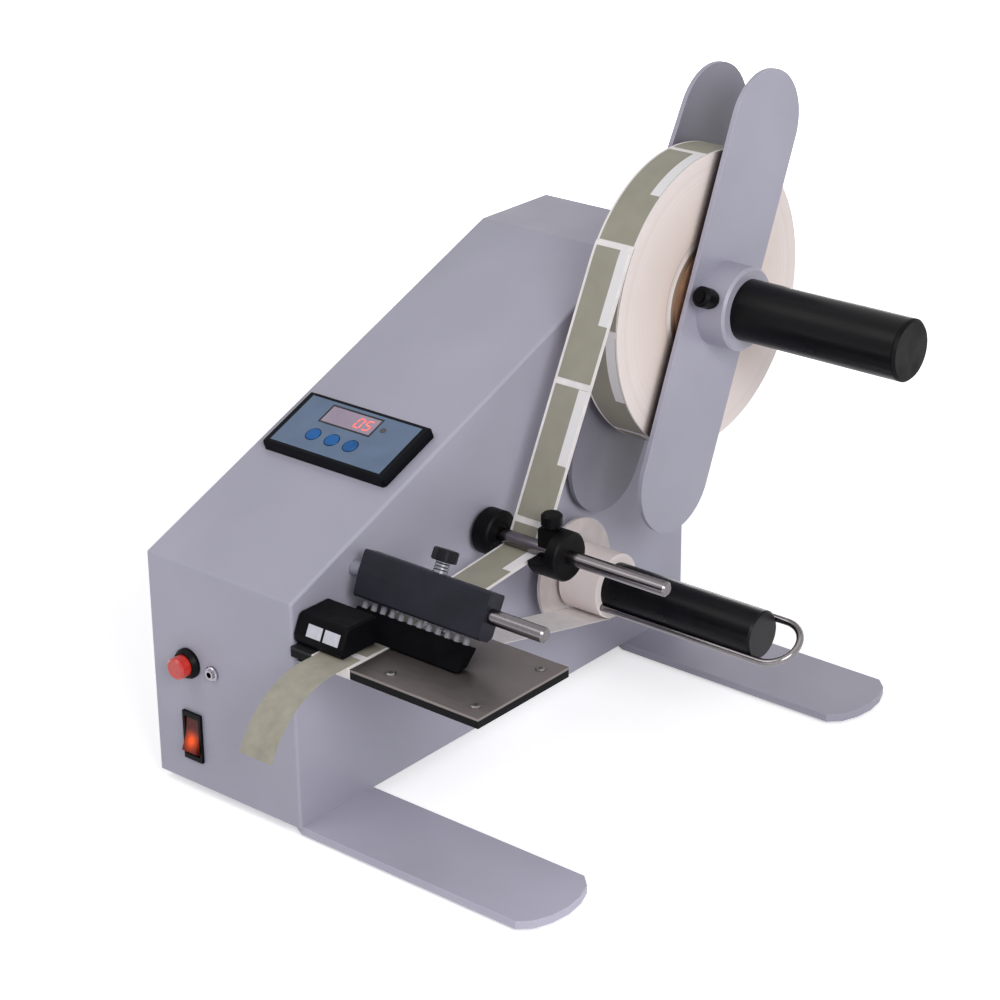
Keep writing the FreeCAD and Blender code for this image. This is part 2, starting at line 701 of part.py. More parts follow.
block = padded("YZ_Plane", [
    (-3.9, block_foot), (3.3, block_foot), (6.5, block_foot + 3), (6.5, block_head - 1),
    (5.5, block_head), (-5.5, block_head), (-6.5, block_head - 1), (-6.7, 0.1), (-5.1, block_foot + 1.2),
], block_long, block_left)
pins = []
pin_bores = []
shoe_holes = []
for i in range(pin_count):
    x = first_pin + pin_pitch * i
    pins.append(turned("z", (x, pin_y, pin_low), [
        (0, 0), (pin_radius, 0), (pin_radius, pin_long - 0.6), (pin_radius - 0.4, pin_long), (0, pin_long),
    ]))
    pin_bores.append(rod("z", (x, pin_y, block_foot - 1), pin_radius + fit, 8))
    shoe_holes.append(rod("z", (x, pin_y, pin_low), pin_radius, 8))
node("press_block", cut(
    block,
    rod("x", (block_left - 1, 0, 0), rod_radius + fit, block_long + 2),
    rod("z", (screw_x, 0, 4), screw_radius + fit, 12),
    *pin_bores
), press=True)
node("press_pins", *pins, press=True)
shoe = padded("YZ_Plane", [
    on_press(30.4, shoe_low), on_press(38.4, shoe_low), (4.9, shoe_top - 1.4), (4.9, shoe_top),
    (-0.8, shoe_top), (-0.9, shoe_top - 0.6),
], shoe_right - shoe_left, shoe_left)
node("press_shoe", cut(shoe, *shoe_holes), press=True)
head_radius = 7.4
stem_radius = 4.2
screw_low = rod_radius + 0.6
stem_foot = block_head + 0.4 - screw_low
head_foot = 14.5
head_top = 21.5
threads = [(stem_radius, stem_foot)]
for i in range(3):
    groove = stem_foot + 1.4 + 1.8 * i
    threads += [(stem_radius, groove), (stem_radius - 0.6, groove + 0.4), (stem_radius, groove + 0.8)]
knurl = []
thumb = turned("z", (screw_x, 0, screw_low), [
    (0, 0), (screw_radius, 0), (screw_radius, stem_foot), *threads, (stem_radius, head_foot),
    (head_radius - 0.6, head_foot), (head_radius, head_foot + 0.6), (head_radius, head_top - 0.8),
    (head_radius - 0.8, head_top), (0, head_top),
])
for i in range(12):
    a = math.radians(30 * i)
    spot = (screw_x + (head_radius + 0.5) * math.cos(a), (head_radius + 0.5) * math.sin(a), screw_low + 14)
    knurl.append(rod("z", spot, 0.9, 10))
node("press_thumbscrew", cut(thumb, *knurl), press=True)

# The sensor head on its two rails, with a fork under the plate.
sensor_long = sensor_right - sensor_left
sensor = padded("YZ_Plane", [
    (2.5, 118.5), (28, 118.5), (29.6, 121), (29.6, 134), (28, 136), (7, 136), (5.2, 135),
    (0.4, 125), (0.4, 121.5),
], sensor_long, sensor_left)
doc.recompute()


def sensor_ends(middle, edge):
    return abs(middle.x - sensor_left.value) < 0.01 or abs(middle.x - sensor_right.value) < 0.01


dress(sensor, "Chamfer", 1.2, sensor_ends)
node("sensor_head", cut(
    sensor,
    *[rod("x", (sensor_left - 1, rail_y + dy, rail_z), 2 + fit, 22) for dy in (-6, 6)]
))
node("sensor_rails", *[rod("x", (side - wall - 5, rail_y + dy, rail_z), 2, 24) for dy in (-6, 6)])
node("sensor_fork", box((side, 4, 106), (9, 16, 4.9)))

# The rewind: grooved shaft, backing disc, waste roll, wire clip and drive.
shaft_start = side - wall - 40
grooves = []
clip_lean = FreeCAD.Rotation(V(1, 0, 0), clip_tilt.value)
leg_y = clip_offset * cosine(clip_tilt)
leg_z = clip_offset * sine(clip_tilt)
clip_start = web_left - 1
clip_y = rewind_y + clip_drop * sine(clip_tilt)
clip_z = rewind_z - clip_drop * cosine(clip_tilt)
for sign in (1, -1):
    groove = rod("x", (clip_start - 1, clip_y + sign * leg_y, clip_z + sign * leg_z), clip_wire + 0.1, 160)
    grooves.append(groove)
rewind_bar = turned("x", (shaft_start, rewind_y, rewind_z), [
    (0, 0), (8, 0), (8, 22), (rewind_radius, 22), (rewind_radius, rewind_end - shaft_start - 1.2),
    (rewind_radius - 1.2, rewind_end - shaft_start), (0, rewind_end - shaft_start),
])
node("rewind_shaft", cut(rewind_bar, *grooves))
node("rewind_disc", ring("x", (126, rewind_y, rewind_z), disc_radius, rewind_radius, 2))
notches = []
for sign in (1, -1):
    spot = (web_left - 1, clip_y + sign * leg_y, clip_z + sign * leg_z)
    notches.append(rod("x", spot, clip_wire + gap, web_width + 2))
node("waste_liner_roll", cut(
    rod("x", (web_left, rewind_y, rewind_z), waste_radius, web_width),
    rod("x", (web_left - 1, rewind_y, rewind_z), rewind_radius, web_width + 2),
    *notches
))


# The wire clip is one round wire swept along two legs and a half circle.
def wire_clip():
    body = doc.addObject("PartDesign::Body", "body")
    bend_x = clip_tip - clip_wire - clip_offset
    path = body.newObject("Sketcher::SketchObject", "path")
    path.AttachmentSupport = [(plane_of(body, "XY_Plane"), "")]
    path.MapMode = "FlatFace"
    low, high, half = clip_start.value, bend_x.value, clip_offset.value
    path.addGeometry(Part.LineSegment(V(low, half, 0), V(high, half, 0)), False)
    turn = Part.Circle(V(high, 0, 0), V(0, 0, 1), half)
    path.addGeometry(Part.ArcOfCircle(turn, -math.pi / 2, math.pi / 2), False)
    path.addGeometry(Part.LineSegment(V(high, -half, 0), V(low, -half, 0)), False)
    path.addConstraint(Sketcher.Constraint("Tangent", 0, 2, 1, 2))
    path.addConstraint(Sketcher.Constraint("Tangent", 1, 1, 2, 1))
    path.addConstraint(Sketcher.Constraint("PointOnObject", 1, 3, -1))
    path.addConstraint(Sketcher.Constraint("Vertical", 0, 1, 2, 2))
    for kind, args, number in (
        ("Radius", (1,), clip_offset),
        ("DistanceX", (-1, 1, 1, 3), bend_x),
        ("DistanceX", (-1, 1, 0, 1), clip_start),
    ):
        index = path.addConstraint(Sketcher.Constraint(kind, *args, number.value))
        bind(path, "Constraints[%d]" % index, number)
    profile = body.newObject("Sketcher::SketchObject", "wire")
    profile.AttachmentSupport = [(plane_of(body, "YZ_Plane"), "")]
    profile.MapMode = "FlatFace"
    bind(profile, "AttachmentOffset.Base.z", clip_start)
    profile.addGeometry(Part.Circle(V(half, 0, 0), V(0, 0, 1), clip_wire.value), False)
    profile.addConstraint(Sketcher.Constraint("PointOnObject", 0, 3, -1))
    index = profile.addConstraint(Sketcher.Constraint("Radius", 0, clip_wire.value))
    bind(profile, "Constraints[%d]" % index, clip_wire)
    index = profile.addConstraint(Sketcher.Constraint("DistanceX", -1, 1, 0, 3, half))
    bind(profile, "Constraints[%d]" % index, clip_offset)
    doc.recompute()
    pipe = body.newObject("PartDesign::AdditivePipe", "pipe")
    pipe.Profile = profile
    pipe.Spine = (path, ["Edge1", "Edge2", "Edge3"])
    body.Placement = FreeCAD.Placement(V(0, clip_y.value, clip_z.value), clip_lean)
    bind(body, "Placement.Base.y", clip_y)
    bind(body, "Placement.Base.z", clip_z)
    return body


node("liner_clip", wire_clip())
motor_y, motor_z = rewind_y, rewind_z
face_x = side - wall - 58
motor_front = shaft_start - 18
node("drive_coupling", cut(
    join(
        rod("x", (shaft_start - 14, motor_y, motor_z), 11, 26),
        rod("x", (motor_front - 10, motor_y, motor_z), 4, 16),
    ),
    rod("x", (shaft_start, motor_y, motor_z), 8, 13),
))
node("gear_motor", cut(
    join(
        rod("x", (motor_front, motor_y, motor_z), 8, 3),
        rod("x", (motor_front - 24, motor_y, motor_z), 18.5, 24),
        rod("x", (5, motor_y, motor_z), 17, motor_front - 29),
    ),
    rod("x", (motor_front - 10.5, motor_y, motor_z), 4 + fit, 20),
))
node("motor_bracket", join(
    cut(
        box((motor_front - 30, motor_y - 25, wall), (2, 50, motor_z + 20 - wall)),
        rod("x", (motor_front - 31, motor_y, motor_z), 17, 4),
    ),
    box((motor_front - 30, motor_y - 25, wall), (24, 50, 2)),
))
node("rewind_bearing", cut(
    rod("x", (side - wall - 12, rewind_y, rewind_z), 25, 12),
    rod("x", (side - wall - 13, rewind_y, rewind_z), rewind_radius + fit, 14),
))

# Nuts that hold the two rods from inside.
nuts = []
for y, z in ((guide_y, guide_z), (press_y, press_z)):
    nuts.append(ring("x", (side - wall - 8, y, z), 8.5, rod_radius, 8))
node("rod_nuts", *nuts)

# Board, power supply and mains inlet.
node("control_board", box((board_left, 70, 30), (1.6, 100, 80)))
node("power_supply", box((20, 90, wall), (60, 98, 36)))
inlet = join(
    box((inlet_x - 13.8, cab_depth - 20, inlet_z - 10), (27.6, 20, 20)),
    box((inlet_x - 25, cab_depth, inlet_z - 12.5), (50, 3, 25)),
)
node("mains_inlet", cut(inlet, box((inlet_x - 12, cab_depth - 14, inlet_z - 8), (24, 20, 16))))

# Push button, jack and rocker switch on the front.
node("button_bezel", turned("-y", (button_x, 0, button_z), [
    (3.2, -17), (6, -17), (6, 0), (9.3, 0), (9.3, 2), (7.9, 4.6), (cap_radius + 0.1, 4.6),
    (cap_radius + 0.1, 0.6), (3.2, 0.6),
]))
node("button_cap", turned("-y", (button_x, 0, button_z), [
    (0, -12), (3.1, -12), (3.1, 4), (cap_radius, 4), (cap_radius, 10.5), (cap_radius - 1.2, 11.7), (0, 11.7),
]))
node("jack_socket", turned("-y", (jack_x, 0, jack_z), [
    (1.8, -15), (3, -15), (3, 0), (4.6, 0), (4.6, 1.6), (4, 2.2), (3, 2.2), (3, 3.4), (1.8, 3.4),
]))
bezel = join(
    box((rocker_x - 7.3, -2, rocker_z - 15.5), (14.6, 2, 31)),
    box((rocker_x - 6.7, 0, rocker_z - 13.7), (13.4, 20, 27.4)),
)
node("rocker_bezel", cut(
    bezel,
    box((rocker_x - 5.6, -3, rocker_z - 12.4), (11.2, 16, 24.8)),
    rod("x", (rocker_x - 6.1, 3, rocker_z), 1 + fit, 12.2),
))
paddle = padded("YZ_Plane", [
    (-0.8, rocker_z + 11.5), (3, rocker_z + 11.9), (5, rocker_z + 3.5), (5, rocker_z - 3.5),
    (3, rocker_z - 11.9), (-2, rocker_z - 11), (-5.5, rocker_z - 8.6), (-1.8, rocker_z),
], 11, rocker_x - 5.5)
pivot = rod("x", (rocker_x - 6, 3, rocker_z), 1, 12)
node("rocker_paddle", join(paddle, pivot))

# The control panel, drawn flat in its own frame.
key_spots = (-19.3, -4.4, 10.2)
key_row = -7.7
face_top = 7
body_wide = panel_long - 7
body_tall = panel_tall - 4
bezel_top = padded("XY_Plane", [
    (-panel_long / 2, -panel_tall / 2), (panel_long / 2, -panel_tall / 2),
    (panel_long / 2, panel_tall / 2), (-panel_long / 2, panel_tall / 2),
], face_top - 0.4)
doc.recompute()


def rim(middle, edge):
    return middle.z > 1 and (abs(middle.x) > 47.9 or abs(middle.y) > 23.9)


dress(bezel_top, "Chamfer", 1.6, rim)
housing = box((-body_wide / 2, -body_tall / 2, -40), (body_wide, body_tall, 40))
key_wells = [rod("z", (x, key_row, 3.6), key_radius + fit, 9) for x in key_spots]
node("panel_housing", cut(
    join(bezel_top, housing),
    box((-43, -20.5, face_top - 1.2), (86, 41, 3)),
    *key_wells
), panel=True)
face = box((-43, -20.5, face_top - 1.2), (86, 41, 0.9))
window = (-23.3, 3.9)
node("panel_face", cut(
    face,
    box((window[0], window[1], face_top - 3), (38, 13.2, 6)),
    rod("z", (20.7, 10.6, face_top - 3), 1.8, 6),
    *[rod("z", (x, key_row, 3), key_radius + fit, 9) for x in key_spots]
), panel=True)
node("display_window", box((window[0], window[1], face_top - 1.2), (38, 13.2, 0.9)), panel=True)
for label, x in zip(("left", "middle", "right"), key_spots):
    node("panel_key_" + label, turned("z", (x, key_row, 4.6), [
        (0, 0), (key_radius, 0), (key_radius, 2.2), (key_radius - 0.5, 2.7), (0, 2.7),
    ]), panel=True)

doc.recompute()

# The paper path.
# The liner is a thin strip along lines and arcs in the upright plane. Its tangent
# points come from the sheet's sizes, so it is drawn by code.
LINER = 0.3
LABEL = 0.3
AIR = 0.05
roll_c = (supply_y.value, supply_z.value, roll_radius.value + LINER + gap.value)
rod_c = (guide_y.value, guide_z.value, rod_radius.value + LABEL + 2 * AIR)
waste_c = (rewind_y.value, rewind_z.value, waste_radius.value + LINER + gap.value)


def tangent_point(circle, point, side_sign):
    cy, cz, r = circle
    dy, dz = point[0] - cy, point[1] - cz
    reach_ = math.hypot(dy, dz)
    a = math.atan2(dz, dy) + side_sign * math.acos(r / reach_)
    return (cy + r * math.cos(a), cz + r * math.sin(a))


def cross_tangent(first, second, side_sign):
    # a line that leaves the first circle and meets the second on its other side
    cy, cz, r1 = first
    dy, dz, r2 = second
    reach_ = math.hypot(dy - cy, dz - cz)
    a = math.atan2(dz - cz, dy - cy)
    b = side_sign * math.acos((r1 + r2) / reach_)
    p = (cy + r1 * math.cos(a + b), cz + r1 * math.sin(a + b))
    q = (dy - r2 * math.cos(a + b), dz - r2 * math.sin(a + b))
    return p, q


LEFT = web_left.value
WIDE = web_width.value
MARGIN = 2


def arc_between(circle, p, q, through):
    cy, cz, r = circle
    m = (cy + r * math.cos(through), cz + r * math.sin(through))
    return Part.Arc(V(LEFT, *p), V(LEFT, *m), V(LEFT, *q)).toShape()


def line_between(p, q):
    return Part.LineSegment(V(LEFT, *p), V(LEFT, *q)).toShape()


def strip(edges, thick, width):
    face = Part.Wire(edges).makeOffset2D(thick, openResult=True, fill=True)
    return face.extrude(V(width, 0, 0))


# The path below is the liner's label side. The liner lies on its other side.


def angle_of(circle, p):
    return math.atan2(p[1] - circle[1], p[0] - circle[0])


top = plate_top.value + LINER + AIR
leave, meet = cross_tangent(roll_c, rod_c, -1)
off_plate = (plate_rear.value - 1, top)
rod_low = tangent_point(rod_c, off_plate, 1)
nose_r = LINER + AIR
nose_y = plate_front.value
low_edge = (plate_low - plate_base).value
nose_top = (nose_y, plate_top.value, nose_r)
nose_low = (nose_y, low_edge, nose_r)
far = tangent_point(waste_c, (nose_y, low_edge - LINER), 1)
lean = math.atan2(far[1] - (low_edge - LINER), far[0] - nose_y)
down = lean - math.pi / 2
low_out = (nose_low[0] + nose_r * math.cos(down), nose_low[1] + nose_r * math.sin(down))
far = tangent_point(waste_c, low_out, 1)
a1 = angle_of(rod_c, meet)
a2 = angle_of(rod_c, rod_low)
if a2 > a1:
    a2 -= 2 * math.pi
path_edges = [
    line_between(leave, meet),
    arc_between(rod_c, meet, rod_low, (a1 + a2) / 2),
    line_between(rod_low, off_plate),
    line_between(off_plate, (nose_y, top)),
    arc_between(nose_top, (nose_y, top), (nose_y - nose_r, nose_top[1]), math.radians(135)),
    line_between((nose_y - nose_r, nose_top[1]), (nose_y - nose_r, nose_low[1])),
    arc_between(nose_low, (nose_y - nose_r, nose_low[1]), low_out, math.radians(230)),
    line_between(low_out, far),
]


def shaped(name, shape):
    thing = doc.addObject("Part::Feature", name)
    thing.Shape = shape
    for letter, number in zip("xyz", (cab_x, cab_y, cab_z)):
        bind(thing, "Placement.Base." + letter, number)
    nodes.append(thing)
    return thing


shaped("liner_web", strip(path_edges, -LINER, WIDE))


# A label lies on a straight run of the liner, from one length along it to another.
# The outer face is to the left of the way the web runs.
def label_on(p, q, first, last):
    dy, dz = q[0] - p[0], q[1] - p[1]
    run = math.hypot(dy, dz)
    dy, dz = dy / run, dz / run
    left = LEFT + MARGIN
    corners = []
    for along, out in ((first, LOW), (last, LOW), (last, LOW + LABEL), (first, LOW + LABEL)):
        corners.append(V(left, p[0] + dy * along - OUT * dz * out, p[1] + dz * along + OUT * dy * out))
    face = Part.Face(Part.makePolygon(corners + corners[:1]))
    return face.extrude(V(WIDE - 2 * MARGIN, 0, 0))


OUT = -1
LOW = 0.02
nose = (nose_y, top)
shaped("web_labels", Part.makeCompound([
    label_on(leave, meet, 0.5, 71.3),
    label_on(leave, meet, 75.3, 156.1),
    label_on(leave, meet, 160.1, 169.4),
    label_on(rod_low, off_plate, 0.3, 66),
    label_on(rod_low, off_plate, 70, 89.9),
    label_on(off_plate, nose, 0.2, 60),
]))

# The peeled label leaves the peel edge level and droops.
peel_z = top + LOW
peel_start = V(LEFT + MARGIN, 9.5, peel_z)
peel_level = V(LEFT + MARGIN, -13, peel_z)
droop = Part.Arc(peel_level, V(LEFT + MARGIN, -42, 107.5), V(LEFT + MARGIN, -62, 83)).toShape()
lip = Part.LineSegment(peel_start, peel_level).toShape()
shaped("peeled_label", strip([lip, droop], LABEL, WIDE - 2 * MARGIN))

bad = []
doc.recompute()
for thing in doc.Objects:
    if any(word in thing.State for word in ("Invalid", "Error")):
        bad.append(thing.Name + " " + str(thing.State))
for thing in nodes:
    if thing.Shape.isNull() or not thing.Shape.isValid() or not thing.Shape.Solids:
        bad.append("shape of " + thing.Name)
if bad:
    raise SystemExit("bad objects: " + "; ".join(bad))
everything = Part.makeCompound([thing.Shape for thing in nodes])
frame_box = everything.BoundBox
print("box", frame_box)
for thing in nodes:
    thing.Shape.exportStep("parts/%s.step" % thing.Name)
print(len(nodes), "nodes")
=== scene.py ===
import bmesh
import bpy
import math
from mathutils import Matrix, Vector


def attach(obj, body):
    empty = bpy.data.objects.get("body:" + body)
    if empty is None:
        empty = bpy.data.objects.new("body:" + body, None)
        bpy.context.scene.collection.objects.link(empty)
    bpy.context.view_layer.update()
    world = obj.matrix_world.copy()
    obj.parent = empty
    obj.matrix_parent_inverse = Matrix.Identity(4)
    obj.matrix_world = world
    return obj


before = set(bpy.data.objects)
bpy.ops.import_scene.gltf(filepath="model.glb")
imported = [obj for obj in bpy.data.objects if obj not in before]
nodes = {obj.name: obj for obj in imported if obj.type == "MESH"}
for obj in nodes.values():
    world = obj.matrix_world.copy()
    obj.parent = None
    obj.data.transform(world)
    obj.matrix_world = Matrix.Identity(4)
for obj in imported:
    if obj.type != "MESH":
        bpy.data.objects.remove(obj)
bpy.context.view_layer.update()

# Cabinet coordinates in mm: x from the left side, y from the front face, z from the underside.
SHIFT = (-151.5, -179.362, 7)
CAB_MIDDLE = 57.5
FRONT_HEIGHT = 142
SLOPE = math.radians(22.324)
PANEL_RUN = 120.7

# Axes along x, as (y, z): the supply roll, the rewind and the press rod
SUPPLY = (328, 238)
REWIND = (236, 79)
PRESS = (51.5, 146)
PRESS_TILT = math.radians(28)

# The web leaves the roll at LEAVE and meets the guide rod at MEET, as (y, z).
LEAVE = (244.7, 280.1)
MEET = (168.0, 128.5)
WEB_LEFT = 131.5


def at(x, y, z):
    """A place in cabinet coordinates, in the part's frame and in metres."""
    return Vector(((x + SHIFT[0]) / 1000, (y + SHIFT[1]) / 1000, (z + SHIFT[2]) / 1000))


# Camera at the photograph's angle
AZIMUTH = math.radians(39.9886)
RISE = math.radians(23.5773)
ROLL = math.radians(-0.5873)
FOCAL_PIXELS = 2701.9
PHOTO_PIXELS = 1000
SENSOR = 36
CAMERA_PLACE = (1063.07, -950.42, 787.16)
back = Vector((math.sin(AZIMUTH) * math.cos(RISE), -math.cos(AZIMUTH) * math.cos(RISE), math.sin(RISE)))
level = Vector((math.cos(AZIMUTH), math.sin(AZIMUTH), 0))
upward = back.cross(level)
right = math.cos(ROLL) * level + math.sin(ROLL) * upward
up = math.cos(ROLL) * upward - math.sin(ROLL) * level
lens = bpy.data.cameras.new("camera")
lens.sensor_width = SENSOR
lens.lens = SENSOR * FOCAL_PIXELS / PHOTO_PIXELS
lens.clip_start = 0.05
lens.clip_end = 60
camera = bpy.data.objects.new("camera", lens)
bpy.context.scene.collection.objects.link(camera)
camera.matrix_world = Matrix.Translation(at(*CAMERA_PLACE)) @ Matrix((
    (right.x, up.x, back.x, 0),
    (right.y, up.y, back.y, 0),
    (right.z, up.z, back.z, 0),
    (0, 0, 0, 1),
))
bpy.context.scene.camera = camera


# Materials
def linear(rgb):
    """A colour of 0 to 255 in sRGB, as linear values."""
    out = []
    for c in rgb:
        c = c / 255
        out.append(c / 12.92 if c <= 0.04045 else ((c + 0.055) / 1.055) ** 2.4)
    return (*out, 1)


def shade(rgb, factor):
    return tuple(min(255, c * factor) for c in rgb)


class Graph:
    """A material's node tree, round one Principled shader."""
    NAMES = {
        "base": "Base Color", "rough": "Roughness", "metal": "Metallic", "normal": "Normal",
        "coat": "Coat Weight", "coat_rough": "Coat Roughness", "specular": "Specular IOR Level",
        "glow": "Emission Strength", "glow_color": "Emission Color", "sheen": "Sheen Weight",
    }

    def __init__(self, name):
        self.mat = bpy.data.materials.new(name)
        self.mat.use_nodes = True
        self.tree = self.mat.node_tree
        self.tree.nodes.clear()
        out = self.tree.nodes.new("ShaderNodeOutputMaterial")
        self.shader = self.tree.nodes.new("ShaderNodeBsdfPrincipled")
        self.tree.links.new(self.shader.outputs[0], out.inputs[0])
        self.place = self.tree.nodes.new("ShaderNodeTexCoord").outputs["Object"]

    def node(self, kind, values=(), **settings):
        n = self.tree.nodes.new("ShaderNode" + kind)
        for key, value in settings.items():
            setattr(n, key, value)
        for socket, value in values:
            self.feed(n.inputs[socket], value)
        return n

    def feed(self, socket, value):
        if isinstance(value, bpy.types.NodeSocket):
            self.tree.links.new(value, socket)
        else:
            socket.default_value = value

    def set(self, **values):
        for key, value in values.items():
            self.feed(self.shader.inputs[self.NAMES[key]], value)
        return self.mat

    def math(self, operation, *values):
        return self.node("Math", list(enumerate(values)), operation=operation).outputs[0]

    def times(self, a, b):
        return self.math("MULTIPLY", a, b)

    def length(self, a, b):
        return self.math("SQRT", self.math("ADD", self.times(a, a), self.times(b, b)))

    def between(self, value, low, high):
        return self.times(self.math("GREATER_THAN", value, low), self.math("LESS_THAN", value, high))

    def ramp(self, value, low, high, first=0.0, last=1.0):
        return self.node("MapRange", [
            ("Value", value), ("From Min", low), ("From Max", high), ("To Min", first), ("To Max", last),
        ]).outputs[0]

    def mix(self, factor, a, b):
        n = self.node("Mix", data_type="RGBA")
        self.feed(n.inputs[0], factor)
        self.feed(n.inputs[6], a)
        self.feed(n.inputs[7], b)
        return n.outputs[2]

    def axes(self):
        """x, y and z in the part's frame, in metres."""
        return self.node("SeparateXYZ", [(0, self.place)]).outputs

    def noise(self, scale, detail=3, stretch=None):
        where = self.place
        if stretch:
            where = self.node("Mapping", [("Vector", self.place), ("Scale", stretch)]).outputs[0]
        return self.node("TexNoise", [("Vector", where), ("Scale", scale), ("Detail", detail)]).outputs["Fac"]

    def bands(self, value, scale, detail):
        """Noise along one value, so that it draws bands."""
        values = [("W", value), ("Scale", scale), ("Detail", detail)]
        return self.node("TexNoise", values, noise_dimensions="1D").outputs["Fac"]

    def cloud(self, scale, detail=3):
        return self.ramp(self.noise(scale, detail), 0.3, 0.7)

    def clouded(self, rgb, spread, scale, detail=3):
        """A colour that varies a little, lighter and darker."""
        low, high = linear(shade(rgb, 1 - spread)), linear(shade(rgb, 1 + spread))
        return self.mix(self.cloud(scale, detail), low, high)

    def edges(self, radius):
        """1 on sharp edges and 0 on flat faces."""
        rounded = self.node("Bevel", [("Radius", radius)], samples=4).outputs[0]
        flat = self.node("NewGeometry").outputs["Normal"]
        same = self.node("VectorMath", [(0, rounded), (1, flat)], operation="DOT_PRODUCT").outputs["Value"]
        return self.ramp(same, 0.999, 0.88)

    def openness(self, distance):
        """1 in the open, and less where something lies within the distance."""
        return self.node("AmbientOcclusion", [("Distance", distance)], samples=8).outputs["AO"]

    def bump(self, height, strength, distance):
        values = [("Height", height), ("Strength", strength), ("Distance", distance)]
        return self.node("Bump", values).outputs[0]


def painted(name, rgb, rough=0.42, grain=0.05, edge_wear_and_highlight=1.12, spread=0.035, specular=0.45, shadow=0.0):
    g = Graph(name)
    base = g.clouded(rgb, spread, 9, 4)
    speck = g.ramp(g.noise(2600, 2), 0.42, 0.6)
    base = g.mix(g.times(speck, 0.06), base, linear(shade(rgb, 0.7)))
    # Sharp edges are lightened: edge wear and a painted highlight.
    base = g.mix(g.times(g.edges(0.0009), 0.6), base, linear(shade(rgb, edge_wear_and_highlight)))
    # Painted shade darkens the paint where other parts lie close; shadow sets how much.
    if shadow:
        base = g.mix(g.ramp(g.openness(0.09), 0.9, 0.35, 0.0, shadow), base, linear(shade(rgb, 0.5)))
    smudge = g.ramp(g.noise(22, 5), 0.35, 0.7, rough - 0.05, rough + 0.1)
    return g.set(base=base, rough=smudge, normal=g.bump(g.noise(900), grain, 0.0004), specular=specular)


def moulded(name, rgb, rough, edge_wear_and_highlight=1.8, grain=0.06, coat=0.0, spread=0.12, specular=0.5):
    g = Graph(name)
    base = g.clouded(rgb, spread, 60, 4)
    # Sharp edges are lightened: edge wear and a painted highlight.
    base = g.mix(g.times(g.edges(0.0005), 0.7), base, linear(shade(rgb, edge_wear_and_highlight)))
    wear = g.ramp(g.noise(90, 5), 0.35, 0.7, rough - 0.07, rough + 0.12)
    return g.set(base=base, rough=wear, normal=g.bump(g.noise(3500, 2), grain, 0.0002), coat=coat,
                 coat_rough=0.15, specular=specular)


def metal(name, rgb, rough, stretch=None, fine=900, grain=0.05, spread=0.06, vary=0.07):
    g = Graph(name)
    lines = g.noise(fine, 3, stretch)
    base = g.mix(g.ramp(lines, 0.35, 0.65), linear(shade(rgb, 1 - spread)), linear(shade(rgb, 1 + spread)))
    stain = g.ramp(g.noise(45, 5), 0.55, 0.8)
    base = g.mix(g.times(stain, 0.35), base, linear(shade(rgb, 0.8)))
    shine = g.ramp(lines, 0.3, 0.7, rough - vary, rough + vary)
    return g.set(base=base, rough=shine, metal=1.0, normal=g.bump(lines, grain, 0.0002))


# What lies close under the press is in its shade, which fades in and out along the web.
SHADE_FADES_IN = (12, 26)
SHADE_FADES_OUT = (110, 90)


def in_shade(g, base):
    depth = g.axes()[1]
    fades = [g.ramp(depth, at(0, a, 0).y, at(0, b, 0).y) for a, b in (SHADE_FADES_IN, SHADE_FADES_OUT)]
    dim = g.times(g.times(*fades), g.ramp(g.openness(0.035), 0.8, 0.3, 0.0, 0.85))
    return g.mix(dim, base, linear((30, 29, 28)))


def papery(name, rgb, rough, fibre=0.12, spread=0.03, shaded=False):
    g = Graph(name)
    fibres = g.noise(700, 6)
    base = g.clouded(rgb, spread, 120, 4)
    if shaded:
        base = in_shade(g, base)
    return g.set(base=base, rough=g.ramp(fibres, 0.3, 0.7, rough - 0.05, rough + 0.1),
                 normal=g.bump(fibres, fibre, 0.0001), sheen=0.1)


# Radii in metres on the roll's end: the core's rim, the pale ring's rim and a thin grey ring
CORE_RIM = 0.0402
PALE_RIM = 0.0428
GREY_RING = (0.0445, 0.0453)
WARM_FADE = (0.084, 0.036)
CARD = (158, 130, 106)
# Colour of the painted shadow on the roll's end
BAR_SHADOW = (62, 44, 38)


# Ends of wound paper show their turns as fine rings. A core's colour adds the rings round it, and painted
# shadow where something lies close over the end.
def wound(name, rgb, dark, axis, pitch=0.0011, label=None, core=None):
    g = Graph(name)
    middle = at(0, *axis)
    place = g.axes()
    dy = g.math("SUBTRACT", place[1], middle.y)
    dz = g.math("SUBTRACT", place[2], middle.z)
    radius = g.length(dy, dz)
    rings = g.bands(radius, 1 / pitch, 4)
    base = g.mix(g.ramp(rings, 0.35, 0.7, 0.0, 0.5), linear(rgb), linear(dark))
    base = g.mix(g.ramp(g.bands(radius, 160, 2), 0.5, 0.75, 0.0, 0.4), base, linear(dark))
    base = g.mix(g.ramp(g.noise(26), 0.4, 0.7, 0.0, 0.25), base, linear(shade(rgb, 1.05)))
    if core is not None:
        base = g.mix(g.ramp(radius, *WARM_FADE, 0.0, 0.75), base, linear(core))
        base = g.mix(g.between(radius, *GREY_RING), base, linear(shade(rgb, 0.82)))
        base = g.mix(g.between(radius, CORE_RIM, PALE_RIM), base, linear(rgb))
        base = g.mix(g.math("LESS_THAN", radius, CORE_RIM), base, linear(CARD))
        # Painted shadow where something, mostly the front flange bar, lies close over the end
        base = g.mix(g.ramp(g.openness(0.008), 0.82, 0.55, 0.0, 0.92), base, linear(BAR_SHADOW))
    if label is not None:
        base = label(g, radius, dy, dz, base)
    return g.set(base=base, rough=0.6, normal=g.bump(rings, 0.25, 0.0003))


